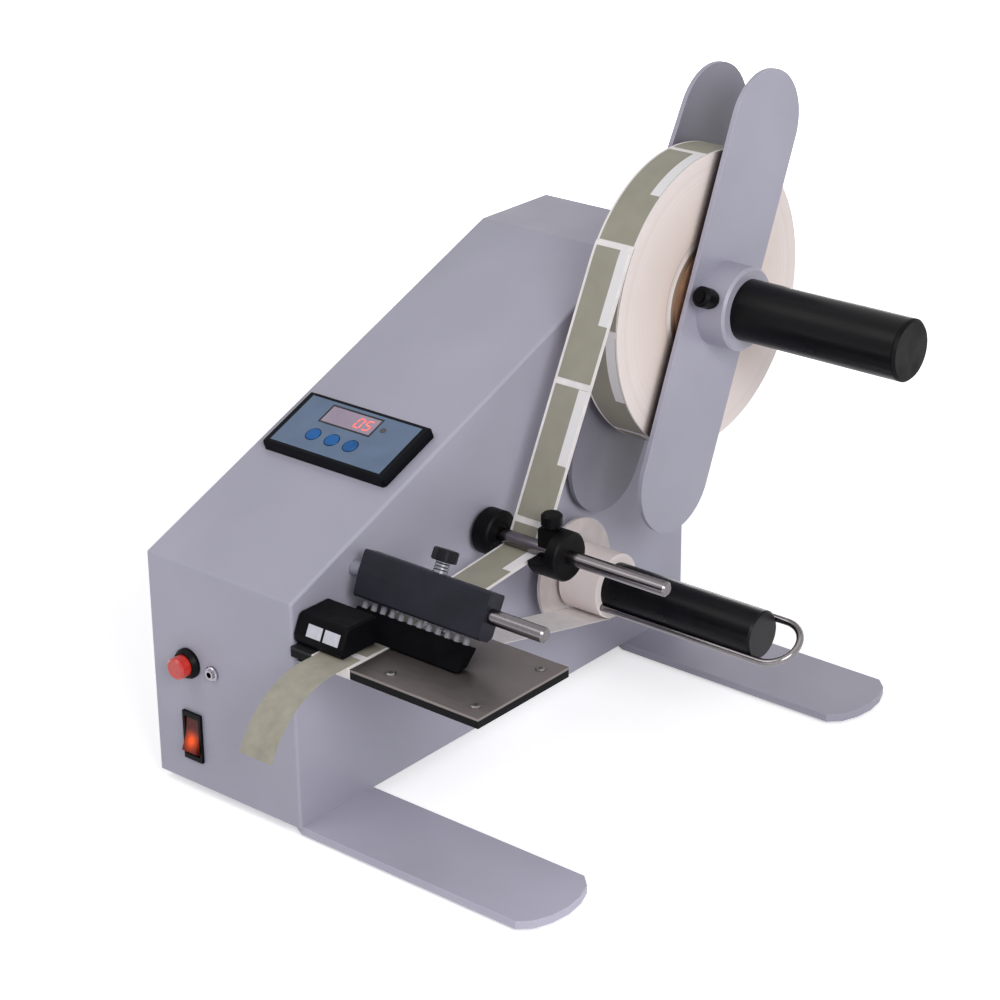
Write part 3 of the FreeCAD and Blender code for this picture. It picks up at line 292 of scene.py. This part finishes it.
# One label for each pitch along the web, from FIRST beyond LEAVE, in metres. Each has a pale field on
# the outer quarter of its first half. A share is a part of the pitch, a span lies across the web.
PITCH = 0.085
FIRST = 0.0753
LABEL_SHARE = 0.953
FIELD_SHARE = 0.54
LABEL_SPAN = (0.0015, 0.0268)
FIELD_SPAN = (0.0195, 0.0265)
KHAKI = (149, 145, 131)
WHITE_PATCH = (230, 227, 228)
MARGIN_WHITE = (234, 229, 228)


def across_web(g):
    return g.math("SUBTRACT", g.axes()[0], at(WEB_LEFT, 0, 0).x)


def print_on(g, along, across, liner=None):
    """The labels' colours, with the liner's round them where it is given."""
    cell = g.math("FRACT", g.math("DIVIDE", g.math("SUBTRACT", along, FIRST), PITCH))
    base = g.clouded(KHAKI, 0.025, 70)
    if liner is not None:
        inside = g.times(g.between(across, *LABEL_SPAN), g.math("LESS_THAN", cell, LABEL_SHARE))
        base = g.mix(inside, linear(liner), base)
    field = g.times(g.between(across, *FIELD_SPAN), g.math("LESS_THAN", cell, FIELD_SHARE))
    return g.mix(field, base, linear(WHITE_PATCH))


# The roll's outer turn, in metres. Its labels lie a little further on towards its lower side.
SKIN_RADIUS = 0.0933
SKIN_FROM = 0.0926
SKIN_SPAN = (0.0003, 0.0277)
SLIP_TURNS = (-2.2, -4.8)
SLIP = 0.024


def roll_label(g, radius, dy, dz, base):
    leave, middle = at(0, *LEAVE), at(0, *SUPPLY)
    start = math.atan2(leave.z - middle.z, leave.y - middle.y)
    turn = g.math("WRAP", g.math("SUBTRACT", g.math("ARCTAN2", dz, dy), start), 0.0, -2 * math.pi)
    along = g.math("ADD", g.times(turn, SKIN_RADIUS), g.ramp(turn, *SLIP_TURNS, 0.0, SLIP))
    across = across_web(g)
    outside = g.times(g.between(across, *SKIN_SPAN), g.math("GREATER_THAN", radius, SKIN_FROM))
    return g.mix(outside, base, print_on(g, along, across, MARGIN_WHITE))


# The labels' places run straight from LEAVE to MEET, round the guide rod and on towards the front.
BEND = 0.0065


def web_print(name):
    g = Graph(name)
    leave, meet = at(0, *LEAVE), at(0, *MEET)
    run = (meet - leave).normalized()
    place = g.axes()
    dy = g.times(g.math("SUBTRACT", place[1], leave.y), run.y)
    dz = g.times(g.math("SUBTRACT", place[2], leave.z), run.z)
    straight = g.math("ADD", dy, dz)
    lower = g.math("ADD", g.math("SUBTRACT", meet.y, place[1]), (meet - leave).length + BEND)
    past = g.math("LESS_THAN", place[1], meet.y)
    along = g.math("ADD", g.times(past, lower), g.times(g.math("SUBTRACT", 1.0, past), straight))
    base = in_shade(g, print_on(g, along, across_web(g)))
    return g.set(base=base, rough=0.5, normal=g.bump(g.noise(700, 6), 0.12, 0.0001))


GREY = (170, 168, 183)
M = {
    "cabinet": painted("cabinet_paint", GREY),
    # The front foot's grey is lighter, and the rear foot's and rear flange bar's darker, than the cabinet's:
    # painted light and painted shade.
    "foot": painted("foot_paint", shade(GREY, 1.1), rough=0.45),
    "rear_foot": painted("rear_foot_paint_shaded", shade(GREY, 0.96), rough=0.45),
    "bar": painted("bar_paint", GREY, rough=0.38),
    "rear_bar": painted("rear_bar_paint_shaded", shade(GREY, 0.94), rough=0.38, shadow=0.7),
    "black_tube": painted("black_tube", (12, 12, 15), rough=0.3, grain=0.03, edge_wear_and_highlight=1.8, spread=0.1,
                          specular=0.13),
    "base_black": painted("base_black", (14, 14, 16), rough=0.5, edge_wear_and_highlight=1.6, spread=0.1, specular=0.07),
    "black_plastic": moulded("black_plastic", (9, 9, 11), rough=0.42, specular=0.09, edge_wear_and_highlight=1.5),
    "knob": moulded("knob_plastic", (8, 8, 10), rough=0.4, edge_wear_and_highlight=1.3, specular=0.08),
    "block": moulded("block_black", (37, 37, 46), rough=0.4, edge_wear_and_highlight=1.4, grain=0.08, specular=0.12),
    "shoe": moulded("shoe_black", (8, 8, 10), rough=0.8, edge_wear_and_highlight=1.3, grain=0.3, specular=0.05),
    "pins": moulded("pin_nylon", (138, 138, 146), rough=0.6, edge_wear_and_highlight=1.1, spread=0.04, grain=0.01, specular=0.1),
    "sensor": moulded("sensor_black", (11, 11, 14), rough=0.5, edge_wear_and_highlight=1.5, specular=0.05),
    "bright_x": metal("bright_steel", (124, 119, 122), rough=0.2, stretch=(2, 0.5, 0.5), fine=420,
                      grain=0.003, spread=0.015, vary=0.015),
    "wire": metal("clip_wire", (132, 128, 130), rough=0.18, fine=1400, grain=0.01, vary=0.02),
    "zinc": metal("zinc_plate", (176, 176, 178), rough=0.35, fine=1500),
    "plate_screw": metal("plate_screw", (124, 120, 119), rough=0.35, fine=1500),
    "alloy": metal("turned_alloy", (186, 186, 188), rough=0.3, stretch=(6, 0.4, 0.4)),
    "chrome": metal("jack_chrome", (168, 164, 172), rough=0.16, fine=2500, grain=0.02),
    "rubber": moulded("pad_rubber", (22, 22, 22), rough=0.8, edge_wear_and_highlight=1.3, grain=0.3),
    "bearing": moulded("bearing_plastic", (212, 208, 198), rough=0.45, edge_wear_and_highlight=1.05, spread=0.04),
    "board": moulded("board_green", (22, 92, 56), rough=0.35, edge_wear_and_highlight=1.3, coat=0.4),
    "motor": painted("motor_case", (96, 98, 102), rough=0.35, edge_wear_and_highlight=1.3),
    "recess": moulded("dark_recess", (12, 12, 13), rough=0.7, edge_wear_and_highlight=1.2, grain=0.2),
    "button_black": moulded("button_black", (10, 10, 13), rough=0.4, edge_wear_and_highlight=1.4, specular=0.09),
    "button_red": moulded("button_red", (196, 40, 26), rough=0.28, edge_wear_and_highlight=1.15, coat=0.5, spread=0.06),
    "panel_black": moulded("panel_black", (8, 9, 15), rough=0.45, specular=0.07, edge_wear_and_highlight=1.5),
    "panel_blue": moulded("panel_blue", (89, 109, 136), rough=0.42, edge_wear_and_highlight=1.1, grain=0.12, spread=0.04),
    "key_blue": moulded("key_blue", (16, 88, 152), rough=0.45, edge_wear_and_highlight=1.1, spread=0.1, specular=0.3),
    "core": papery("core_card", (158, 116, 88), rough=0.7, fibre=0.3, spread=0.1),
    "disc": papery("disc_board", (198, 188, 186), rough=0.5, fibre=0.1),
    "liner": papery("liner_paper", MARGIN_WHITE, rough=0.42, fibre=0.06, shaded=True),
    "waste": wound("waste_paper", (244, 234, 232), (226, 212, 206), REWIND, pitch=0.0006),
    "roll": wound("roll_paper", (242, 231, 227), (232, 216, 208), SUPPLY, label=roll_label,
                  core=(226, 204, 190)),
    "print": web_print("label_paper"),
    "label": papery("peeled_paper", (157, 152, 138), rough=0.5, spread=0.05),
}

# The lamp in the rocker shows as a warm patch that fades out from its middle.
LAMP_MIDDLE = at(31.4, 0, 29.6)
g = Graph("rocker_red")
place = g.axes()
far = g.length(g.math("SUBTRACT", place[0], LAMP_MIDDLE.x), g.math("SUBTRACT", place[2], LAMP_MIDDLE.z))
glow = g.ramp(far, 0.0095, 0.0015)
base = g.mix(g.cloud(500), linear((70, 12, 6)), linear((96, 20, 10)))
warm = g.mix(glow, linear((70, 6, 2)), linear((255, 92, 30)))
M["rocker"] = g.set(base=base, rough=0.25, glow_color=warm, glow=g.times(g.math("POWER", glow, 1.5), 0.9),
                    normal=g.bump(g.noise(1500, 2), 0.03, 0.0002), coat=0.1, specular=0.2)

# Tinted glass; its faint pinkish glow is painted light.
g = Graph("window_tint")
tint = g.mix(g.cloud(40), linear((132, 120, 140)), linear((150, 134, 154)))
M["window"] = g.set(base=tint, rough=g.ramp(g.noise(300), 0.3, 0.7, 0.1, 0.18), coat=0.6,
                    glow_color=linear((130, 100, 124)), glow=0.12,
                    normal=g.bump(g.noise(2500, 2), 0.02, 0.0002))

g = Graph("digit_red")
lit = g.mix(g.cloud(900, 2), linear((255, 70, 60)), linear((255, 120, 100)))
M["digit"] = g.set(base=lit, rough=0.4, glow_color=lit, glow=1.0,
                   normal=g.bump(g.noise(2500, 2), 0.02, 0.0001))

# The press rod is painted with the cabinet up to the block, in a darker copy of the cabinet's grey that is
# painted shade.
ROOT_END = at(124.4, 0, 0).x
g = Graph("press_rod_steel")
root = g.math("LESS_THAN", g.axes()[0], ROOT_END)
lines = g.noise(420, 3, (2, 0.5, 0.5))
steel = g.mix(g.ramp(lines, 0.35, 0.65), linear((114, 109, 113)), linear((120, 115, 118)))
base = g.mix(root, steel, linear(shade(GREY, 0.86)))
rough = g.math("ADD", g.ramp(lines, 0.3, 0.7, 0.19, 0.22), g.times(root, 0.2))
M["press_rod"] = g.set(base=base, metal=g.math("SUBTRACT", 1.0, root), rough=rough,
                       normal=g.bump(lines, 0.003, 0.0002))

# The rewind shaft's flat end is paler than its side.
g = Graph("shaft_black")
facing = g.node("SeparateXYZ", [(0, g.node("NewGeometry").outputs["True Normal"])]).outputs[0]
end = g.math("GREATER_THAN", facing, 0.95)
cloud = g.cloud(60, 4)
side = g.mix(cloud, linear((11, 11, 14)), linear((16, 16, 20)))
face = g.mix(cloud, linear((33, 31, 34)), linear((39, 37, 40)))
M["shaft"] = g.set(base=g.mix(end, side, face), rough=g.ramp(cloud, 0, 1, 0.26, 0.36), specular=0.13,
                   normal=g.bump(g.noise(900), 0.03, 0.0003))

# The thumbscrew's stem is bright up to its black knurled head, measured in metres from the press rod.
STEM_END = 0.0194
g = Graph("screw_black")
place = g.axes()
rod_middle = at(0, *PRESS)
rise_y = g.times(g.math("SUBTRACT", place[1], rod_middle.y), math.sin(PRESS_TILT))
rise_z = g.times(g.math("SUBTRACT", place[2], rod_middle.z), math.cos(PRESS_TILT))
stem = g.math("LESS_THAN", g.math("ADD", rise_y, rise_z), STEM_END)
grime = g.cloud(400, 4)
dark = g.mix(grime, linear((17, 16, 21)), linear((26, 25, 32)))
light = g.mix(grime, linear((122, 123, 130)), linear((146, 147, 154)))
M["thumbscrew"] = g.set(base=g.mix(stem, dark, light), metal=g.times(stem, 0.9),
                        rough=g.ramp(grime, 0, 1, 0.3, 0.4), specular=0.12,
                        normal=g.bump(g.noise(1800, 2), 0.05, 0.0002))

# The plate's end beside the sensor is black, and painted shade darkens the plate close under the press.
BLACK_END = at(130.5, 0, 0).x
g = Graph("peel_steel")
black_end = g.math("LESS_THAN", g.axes()[0], BLACK_END)
lines = g.noise(900, 3, (0.08, 3, 3))
steel = g.mix(g.ramp(lines, 0.35, 0.65), linear((122, 115, 113)), linear((132, 125, 123)))
steel = g.mix(g.ramp(g.openness(0.03), 0.95, 0.35, 0.0, 0.9), steel, linear((40, 37, 36)))
M["peel"] = g.set(base=g.mix(black_end, steel, linear((40, 40, 44))),
                  metal=g.math("SUBTRACT", 1.0, black_end),
                  rough=g.ramp(lines, 0.3, 0.7, 0.34, 0.48), normal=g.bump(lines, 0.06, 0.0002),
                  specular=0.1)

g = Graph("sticker_paper")
cloud = g.cloud(300)
base = g.mix(cloud, linear((196, 196, 206)), linear((206, 206, 216)))
M["sticker"] = g.set(base=base, rough=g.ramp(cloud, 0, 1, 0.35, 0.45),
                     normal=g.bump(g.noise(900), 0.05, 0.0001))

g = Graph("lamp_lens")
cloud = g.cloud(900)
base = g.mix(cloud, linear((10, 12, 26)), linear((16, 18, 36)))
M["lamp"] = g.set(base=base, rough=g.ramp(cloud, 0, 1, 0.12, 0.2), coat=0.6,
                  normal=g.bump(g.noise(2500, 2), 0.02, 0.0002))

USED = {
    "cabinet_shell": "cabinet", "rear_panel": "cabinet", "base_plate": "cabinet",
    "front_foot_bar": "foot", "rear_foot_bar": "rear_foot", "rear_screws": "zinc", "foot_bolts": "zinc",
    "rubber_pads": "rubber", "supply_axle": "bright_x", "supply_bearings": "bearing",
    "supply_tube": "black_tube", "tube_end_cap": "black_plastic", "rear_flange_bar": "rear_bar",
    "front_flange_bar": "bar", "front_hub_collar": "bar", "hub_knob": "knob", "roll_core": "core",
    "label_roll": "roll", "guide_rod": "bright_x", "inner_guide_collar": "black_plastic",
    "outer_guide_collar": "black_plastic", "guide_knob": "knob", "peel_plate": "peel",
    "peel_base": "base_black", "peel_plate_screws": "plate_screw", "press_rod": "press_rod",
    "press_block": "block", "press_pins": "pins", "press_shoe": "shoe", "press_thumbscrew": "thumbscrew",
    "sensor_head": "sensor", "sensor_rails": "bright_x", "sensor_fork": "black_plastic",
    "rewind_shaft": "shaft", "rewind_disc": "disc", "waste_liner_roll": "waste", "liner_clip": "wire",
    "drive_coupling": "alloy", "gear_motor": "motor", "motor_bracket": "zinc", "rewind_bearing": "bearing",
    "rod_nuts": "zinc", "control_board": "board", "power_supply": "zinc", "mains_inlet": "black_plastic",
    "button_bezel": "button_black", "button_cap": "button_red", "jack_socket": "chrome",
    "rocker_bezel": "button_black", "rocker_paddle": "rocker", "panel_housing": "panel_black",
    "panel_face": "panel_blue", "display_window": "window", "panel_key_left": "key_blue",
    "panel_key_middle": "key_blue", "panel_key_right": "key_blue", "liner_web": "liner",
    "web_labels": "print", "peeled_label": "label",
}
for name, key in USED.items():
    mesh = nodes[name].data
    mesh.materials.clear()
    mesh.materials.append(M[key])


# Small pieces built here
def finished(name, bm, material, body):
    mesh = bpy.data.meshes.new(name)
    bm.to_mesh(mesh)
    bm.free()
    thing = bpy.data.objects.new(name, mesh)
    bpy.context.scene.collection.objects.link(thing)
    mesh.materials.append(M[material])
    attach(thing, body)


def join_rims(bm, rims):
    """Walls between rims of as many points, each one to the next."""
    for one, two in zip(rims, rims[1:]):
        for i in range(len(one)):
            j = (i + 1) % len(one)
            bm.faces.new((one[i], one[j], two[j], two[i]))


def plate(name, corners, normal, thick, material, body, bevel=0.0):
    """A thin plate with any outline: corners are points of its lower face, thick is in metres."""
    bm = bmesh.new()
    face = bm.faces.new([bm.verts.new(p) for p in corners])
    grown = bmesh.ops.extrude_face_region(bm, geom=[face])
    for v in grown["geom"]:
        if isinstance(v, bmesh.types.BMVert):
            v.co += normal * thick
    bmesh.ops.recalc_face_normals(bm, faces=bm.faces)
    if bevel:
        bmesh.ops.bevel(bm, geom=list(bm.edges), offset=bevel, segments=2, affect="EDGES", profile=0.6)
    finished(name, bm, material, body)


# Panel coordinates: u across, v up the slope, w out of it, in mm from its middle.
PANEL_OUT = Vector((0, -math.sin(SLOPE), math.cos(SLOPE)))
PANEL_FACE = 6.7


def on_panel(u, v, w):
    run = PANEL_RUN + v
    y = run * math.cos(SLOPE) - w * math.sin(SLOPE)
    z = FRONT_HEIGHT + run * math.sin(SLOPE) + w * math.cos(SLOPE)
    return at(CAB_MIDDLE + u, y, z)


# Seven-segment digits, in mm
SEGMENTS = {"0": "abcdef", "5": "afgcd"}
DIGIT_WIDE = 4.2
DIGIT_TALL = 7.6
DIGIT_V = 10.4
DIGIT_LEVELS = (6.72, 6.82)
STROKE = 0.85
SEGMENT_GAP = 0.25
SLANT = 0.08


def digit(name, value, u):
    half_wide, half_tall, quarter = DIGIT_WIDE / 2, DIGIT_TALL / 2, DIGIT_TALL / 4
    spots = {
        "a": (0, half_tall, True), "g": (0, 0, True), "d": (0, -half_tall, True),
        "b": (half_wide, quarter, False), "c": (half_wide, -quarter, False),
        "f": (-half_wide, quarter, False), "e": (-half_wide, -quarter, False),
    }
    bm = bmesh.new()
    for letter in SEGMENTS[value]:
        du, dv, flat = spots[letter]
        half = (half_wide if flat else quarter) - SEGMENT_GAP
        s = STROKE / 2
        shape = [(-half, 0), (-half + s, s), (half - s, s), (half, 0), (half - s, -s), (-half + s, -s)]
        if not flat:
            shape = [(b, a) for a, b in shape]
        rims = []
        for w in DIGIT_LEVELS:
            rim = []
            for a, b in shape:
                rim.append(bm.verts.new(on_panel(u + du + a + SLANT * (dv + b), DIGIT_V + dv + b, w)))
            rims.append(rim)
        bm.faces.new(rims[1])
        bm.faces.new(rims[0])
        join_rims(bm, rims)
    bmesh.ops.recalc_face_normals(bm, faces=bm.faces)
    finished(name, bm, "digit", "frame")


digit("digit_units", "5", 9.2)
digit("digit_tens", "0", 2.4)


def block(name, corner, dims, material, bevel=0.0):
    x, y, z = corner
    dx, dy, dz = dims
    base = [at(x, y, z), at(x + dx, y, z), at(x + dx, y + dy, z), at(x, y + dy, z)]
    plate(name, base, Vector((0, 0, 1)), dz / 1000, material, "frame", bevel)


def panel_plate(name, u, v, wide, tall, low, thick, material, slot):
    corners = ((u, v), (u + wide, v), (u + wide, v + tall), (u, v + tall))
    base = [on_panel(a, b, low) for a, b in corners]
    plate(name, base, PANEL_OUT, thick / 1000, material, "frame")


# A flat ring on the panel, with its outer rim bevelled. A tiny inner radius makes it a disc.
def panel_ring(name, u, v, inner, outer, low, high, material):
    count = 40
    bm = bmesh.new()
    rims = []
    for radius, w in ((inner, low), (outer, low), (outer, high - 0.03), (outer - 0.05, high), (inner, high)):
        rim = []
        for i in range(count):
            a = 2 * math.pi * i / count
            rim.append(bm.verts.new(on_panel(u + radius * math.cos(a), v + radius * math.sin(a), w)))
        rims.append(rim)
    join_rims(bm, rims + rims[:1])
    bmesh.ops.recalc_face_normals(bm, faces=bm.faces)
    finished(name, bm, material, "frame")


# The web's first millimetres still follow the roll before they run straight. The sheets run from
# so many mm before LEAVE to LEAD_END beyond it, between two radii round the supply axis.
LEAD_END = 0.42
LEAD_RADIUS = 93.6
LEAD_STEPS = 12


def lead_on(name, first, low, high, left, wide, material):
    start = math.atan2(LEAVE[1] - SUPPLY[1], LEAVE[0] - SUPPLY[0])
    bm = bmesh.new()
    rims = []
    for i in range(LEAD_STEPS + 1):
        a = start + (first + (LEAD_END - first) * i / LEAD_STEPS) / LEAD_RADIUS
        rim = []
        for radius, x in ((low, left), (high, left), (high, left + wide), (low, left + wide)):
            y = SUPPLY[0] + radius * math.cos(a)
            z = SUPPLY[1] + radius * math.sin(a)
            rim.append(bm.verts.new(at(x, y, z)))
        rims.append(rim)
    join_rims(bm, rims)
    bm.faces.new(rims[0])
    bm.faces.new(rims[-1])
    bmesh.ops.recalc_face_normals(bm, faces=bm.faces)
    finished(name, bm, material, "frame")


lead_on("web_lead_on", -12.6, 93.3, 93.6, WEB_LEFT, 28, "liner")
lead_on("web_lead_label", -9.7, 93.6, 93.94, WEB_LEFT + 2, 24, "print")

# Dark border of the display window, printed rings round the keys, and the lamp
BORDER = 1.3
u, v, wide, tall = -23.3, 3.9, 38, 13.2
for side, spot in (
    ("low", (u - BORDER, v - BORDER, wide + 2 * BORDER, BORDER)),
    ("high", (u - BORDER, v + tall, wide + 2 * BORDER, BORDER)),
    ("left", (u - BORDER, v, BORDER, tall)),
    ("right", (u + wide, v, BORDER, tall)),
):
    panel_plate("window_border_" + side, *spot, PANEL_FACE, 0.06, "recess", "panel_black")
for side, key_u in (("left", -19.3), ("middle", -4.4), ("right", 10.2)):
    panel_ring("key_ring_" + side, key_u, -7.7, 4.7, 5.1, PANEL_FACE - 0.02, PANEL_FACE + 0.08,
               "panel_black")
panel_ring("lamp_lens", 20.7, 10.6, 0.02, 2.1, 5.9, 6.9, "lamp")

# Stickers on the sensor's leaning front face, by their x and their run up the face, in mm
HEAD_RUN = Vector((0, 0.4327, 0.9015))
HEAD_OUT = Vector((0, -0.9015, 0.4327))
HEAD_FOOT = (0.4, 125)
STICKER_RUN = (0.7, 7.9)
for side, low_x, high_x in (("left", 124.9, 135.6), ("right", 137.4, 148.6)):
    foot, reach = STICKER_RUN
    corners = []
    for x, run in ((low_x, foot), (high_x, foot), (high_x, reach), (low_x, reach)):
        corners.append(at(x, *HEAD_FOOT) + (HEAD_RUN * run + HEAD_OUT * 0.02) / 1000)
    plate("sensor_sticker_" + side, corners, HEAD_OUT, 0.0001, "sticker", "sensor")

# Cross recesses in the screw heads of the peel plate and the rear panel, drawn as thin dark slabs: painted
# shade for their depth
PLATE_HEADS = 117.9
REAR_HEADS = 366.8
for i, (x, y) in enumerate(((180, 9), (240, 9), (240, 63.5), (168, 66))):
    block("plate_screw_slot_%d" % i, (x - 1.5, y - 0.3, PLATE_HEADS), (3, 0.6, 0.03), "recess")
    block("plate_screw_cross_%d" % i, (x - 0.3, y - 1.5, PLATE_HEADS), (0.6, 3, 0.035), "recess")
for i, (x, z) in enumerate(((7.5, 67), (7.5, 217), (107.5, 67), (107.5, 217))):
    block("rear_screw_slot_%d" % i, (x - 1.7, REAR_HEADS, z - 0.35), (3.4, 0.03, 0.7), "recess")
    block("rear_screw_cross_%d" % i, (x - 0.35, REAR_HEADS, z - 1.7), (0.7, 0.035, 3.4), "recess")

# The three flat pins in the mains inlet
for i, (x, z) in enumerate(((50.5, 42), (57.5, 36), (64.5, 42))):
    block("inlet_pin_%d" % i, (x - 1, 351, z - 2), (2, 12, 4), "chrome", 0.0002)


# Floor, lamps and backdrop, in metres. The floor turns into the white backdrop away from the machine.
FLOOR_HALF = 9
FLOOR_FADE = (0.4, 1.2)


def floor():
    g = Graph("floor_white")
    base = g.mix(g.cloud(8), linear((243, 243, 244)), linear((246, 246, 247)))
    path = g.node("LightPath").outputs
    through = g.math("MAXIMUM", path["Is Glossy Ray"], path["Is Transmission Ray"])
    seen = g.math("MAXIMUM", path["Is Camera Ray"], through)
    far = g.node("VectorMath", [(0, g.place)], operation="LENGTH").outputs["Value"]
    glow = g.times(seen, g.ramp(far, *FLOOR_FADE, 0.5, 1.0))
    g.set(base=base, rough=0.7, specular=0.2, glow_color=(1, 1, 1, 1), glow=glow)
    mesh = bpy.data.meshes.new("floor")
    signs = ((-1, -1), (1, -1), (1, 1), (-1, 1))
    mesh.from_pydata([(FLOOR_HALF * x, FLOOR_HALF * y, 0) for x, y in signs], [], [(0, 1, 2, 3)])
    mesh.materials.append(g.mat)
    thing = bpy.data.objects.new("floor", mesh)
    bpy.context.scene.collection.objects.link(thing)


floor()

# The world is white where it is seen, and lights the object more dimly.
AMBIENT = ((0.94, 0.95, 1.0, 1), 0.3)
BACKDROP = ((1, 1, 1, 1), 1)
world = bpy.data.worlds.new("studio")
bpy.context.scene.world = world
world.use_nodes = True
tree = world.node_tree
tree.nodes.clear()
out = tree.nodes.new("ShaderNodeOutputWorld")
rays = tree.nodes.new("ShaderNodeLightPath")
chosen = tree.nodes.new("ShaderNodeMixShader")
for i, (color, strength) in enumerate((AMBIENT, BACKDROP)):
    sky = tree.nodes.new("ShaderNodeBackground")
    sky.inputs[0].default_value = color
    sky.inputs[1].default_value = strength
    tree.links.new(sky.outputs[0], chosen.inputs[i + 1])
seen = rays.outputs["Is Camera Ray"]
for name in ("Is Glossy Ray", "Is Transmission Ray"):
    either = tree.nodes.new("ShaderNodeMath")
    either.operation = "MAXIMUM"
    tree.links.new(seen, either.inputs[0])
    tree.links.new(rays.outputs[name], either.inputs[1])
    seen = either.outputs[0]
tree.links.new(seen, chosen.inputs[0])
tree.links.new(chosen.outputs[0], out.inputs[0])


def lamp(name, place, target, size, power, color=(1, 1, 1)):
    data = bpy.data.lights.new(name, "AREA")
    data.shape = "RECTANGLE"
    data.size, data.size_y = size
    data.energy = power
    data.color = color
    thing = bpy.data.objects.new(name, data)
    bpy.context.scene.collection.objects.link(thing)
    aim = (Vector(target) - Vector(place)).normalized()
    thing.matrix_world = Matrix.Translation(place) @ aim.to_track_quat("-Z", "Y").to_matrix().to_4x4()


lamp("key", (-0.5, -1.1, 1.7), (0, 0, 0.15), (1.3, 1.0), 8, (1.0, 0.98, 0.97))
lamp("side", (1.5, -0.85, 1.1), (0, 0, 0.1), (0.9, 0.9), 21)
lamp("top", (0.3, 0.3, 1.9), (0, 0, 0.1), (1.4, 1.4), 3)
lamp("rear", (-1.1, 1.4, 0.16), (0, 0, 0.15), (1.2, 0.26), 4)

bpy.context.scene.view_settings.view_transform = "Standard"
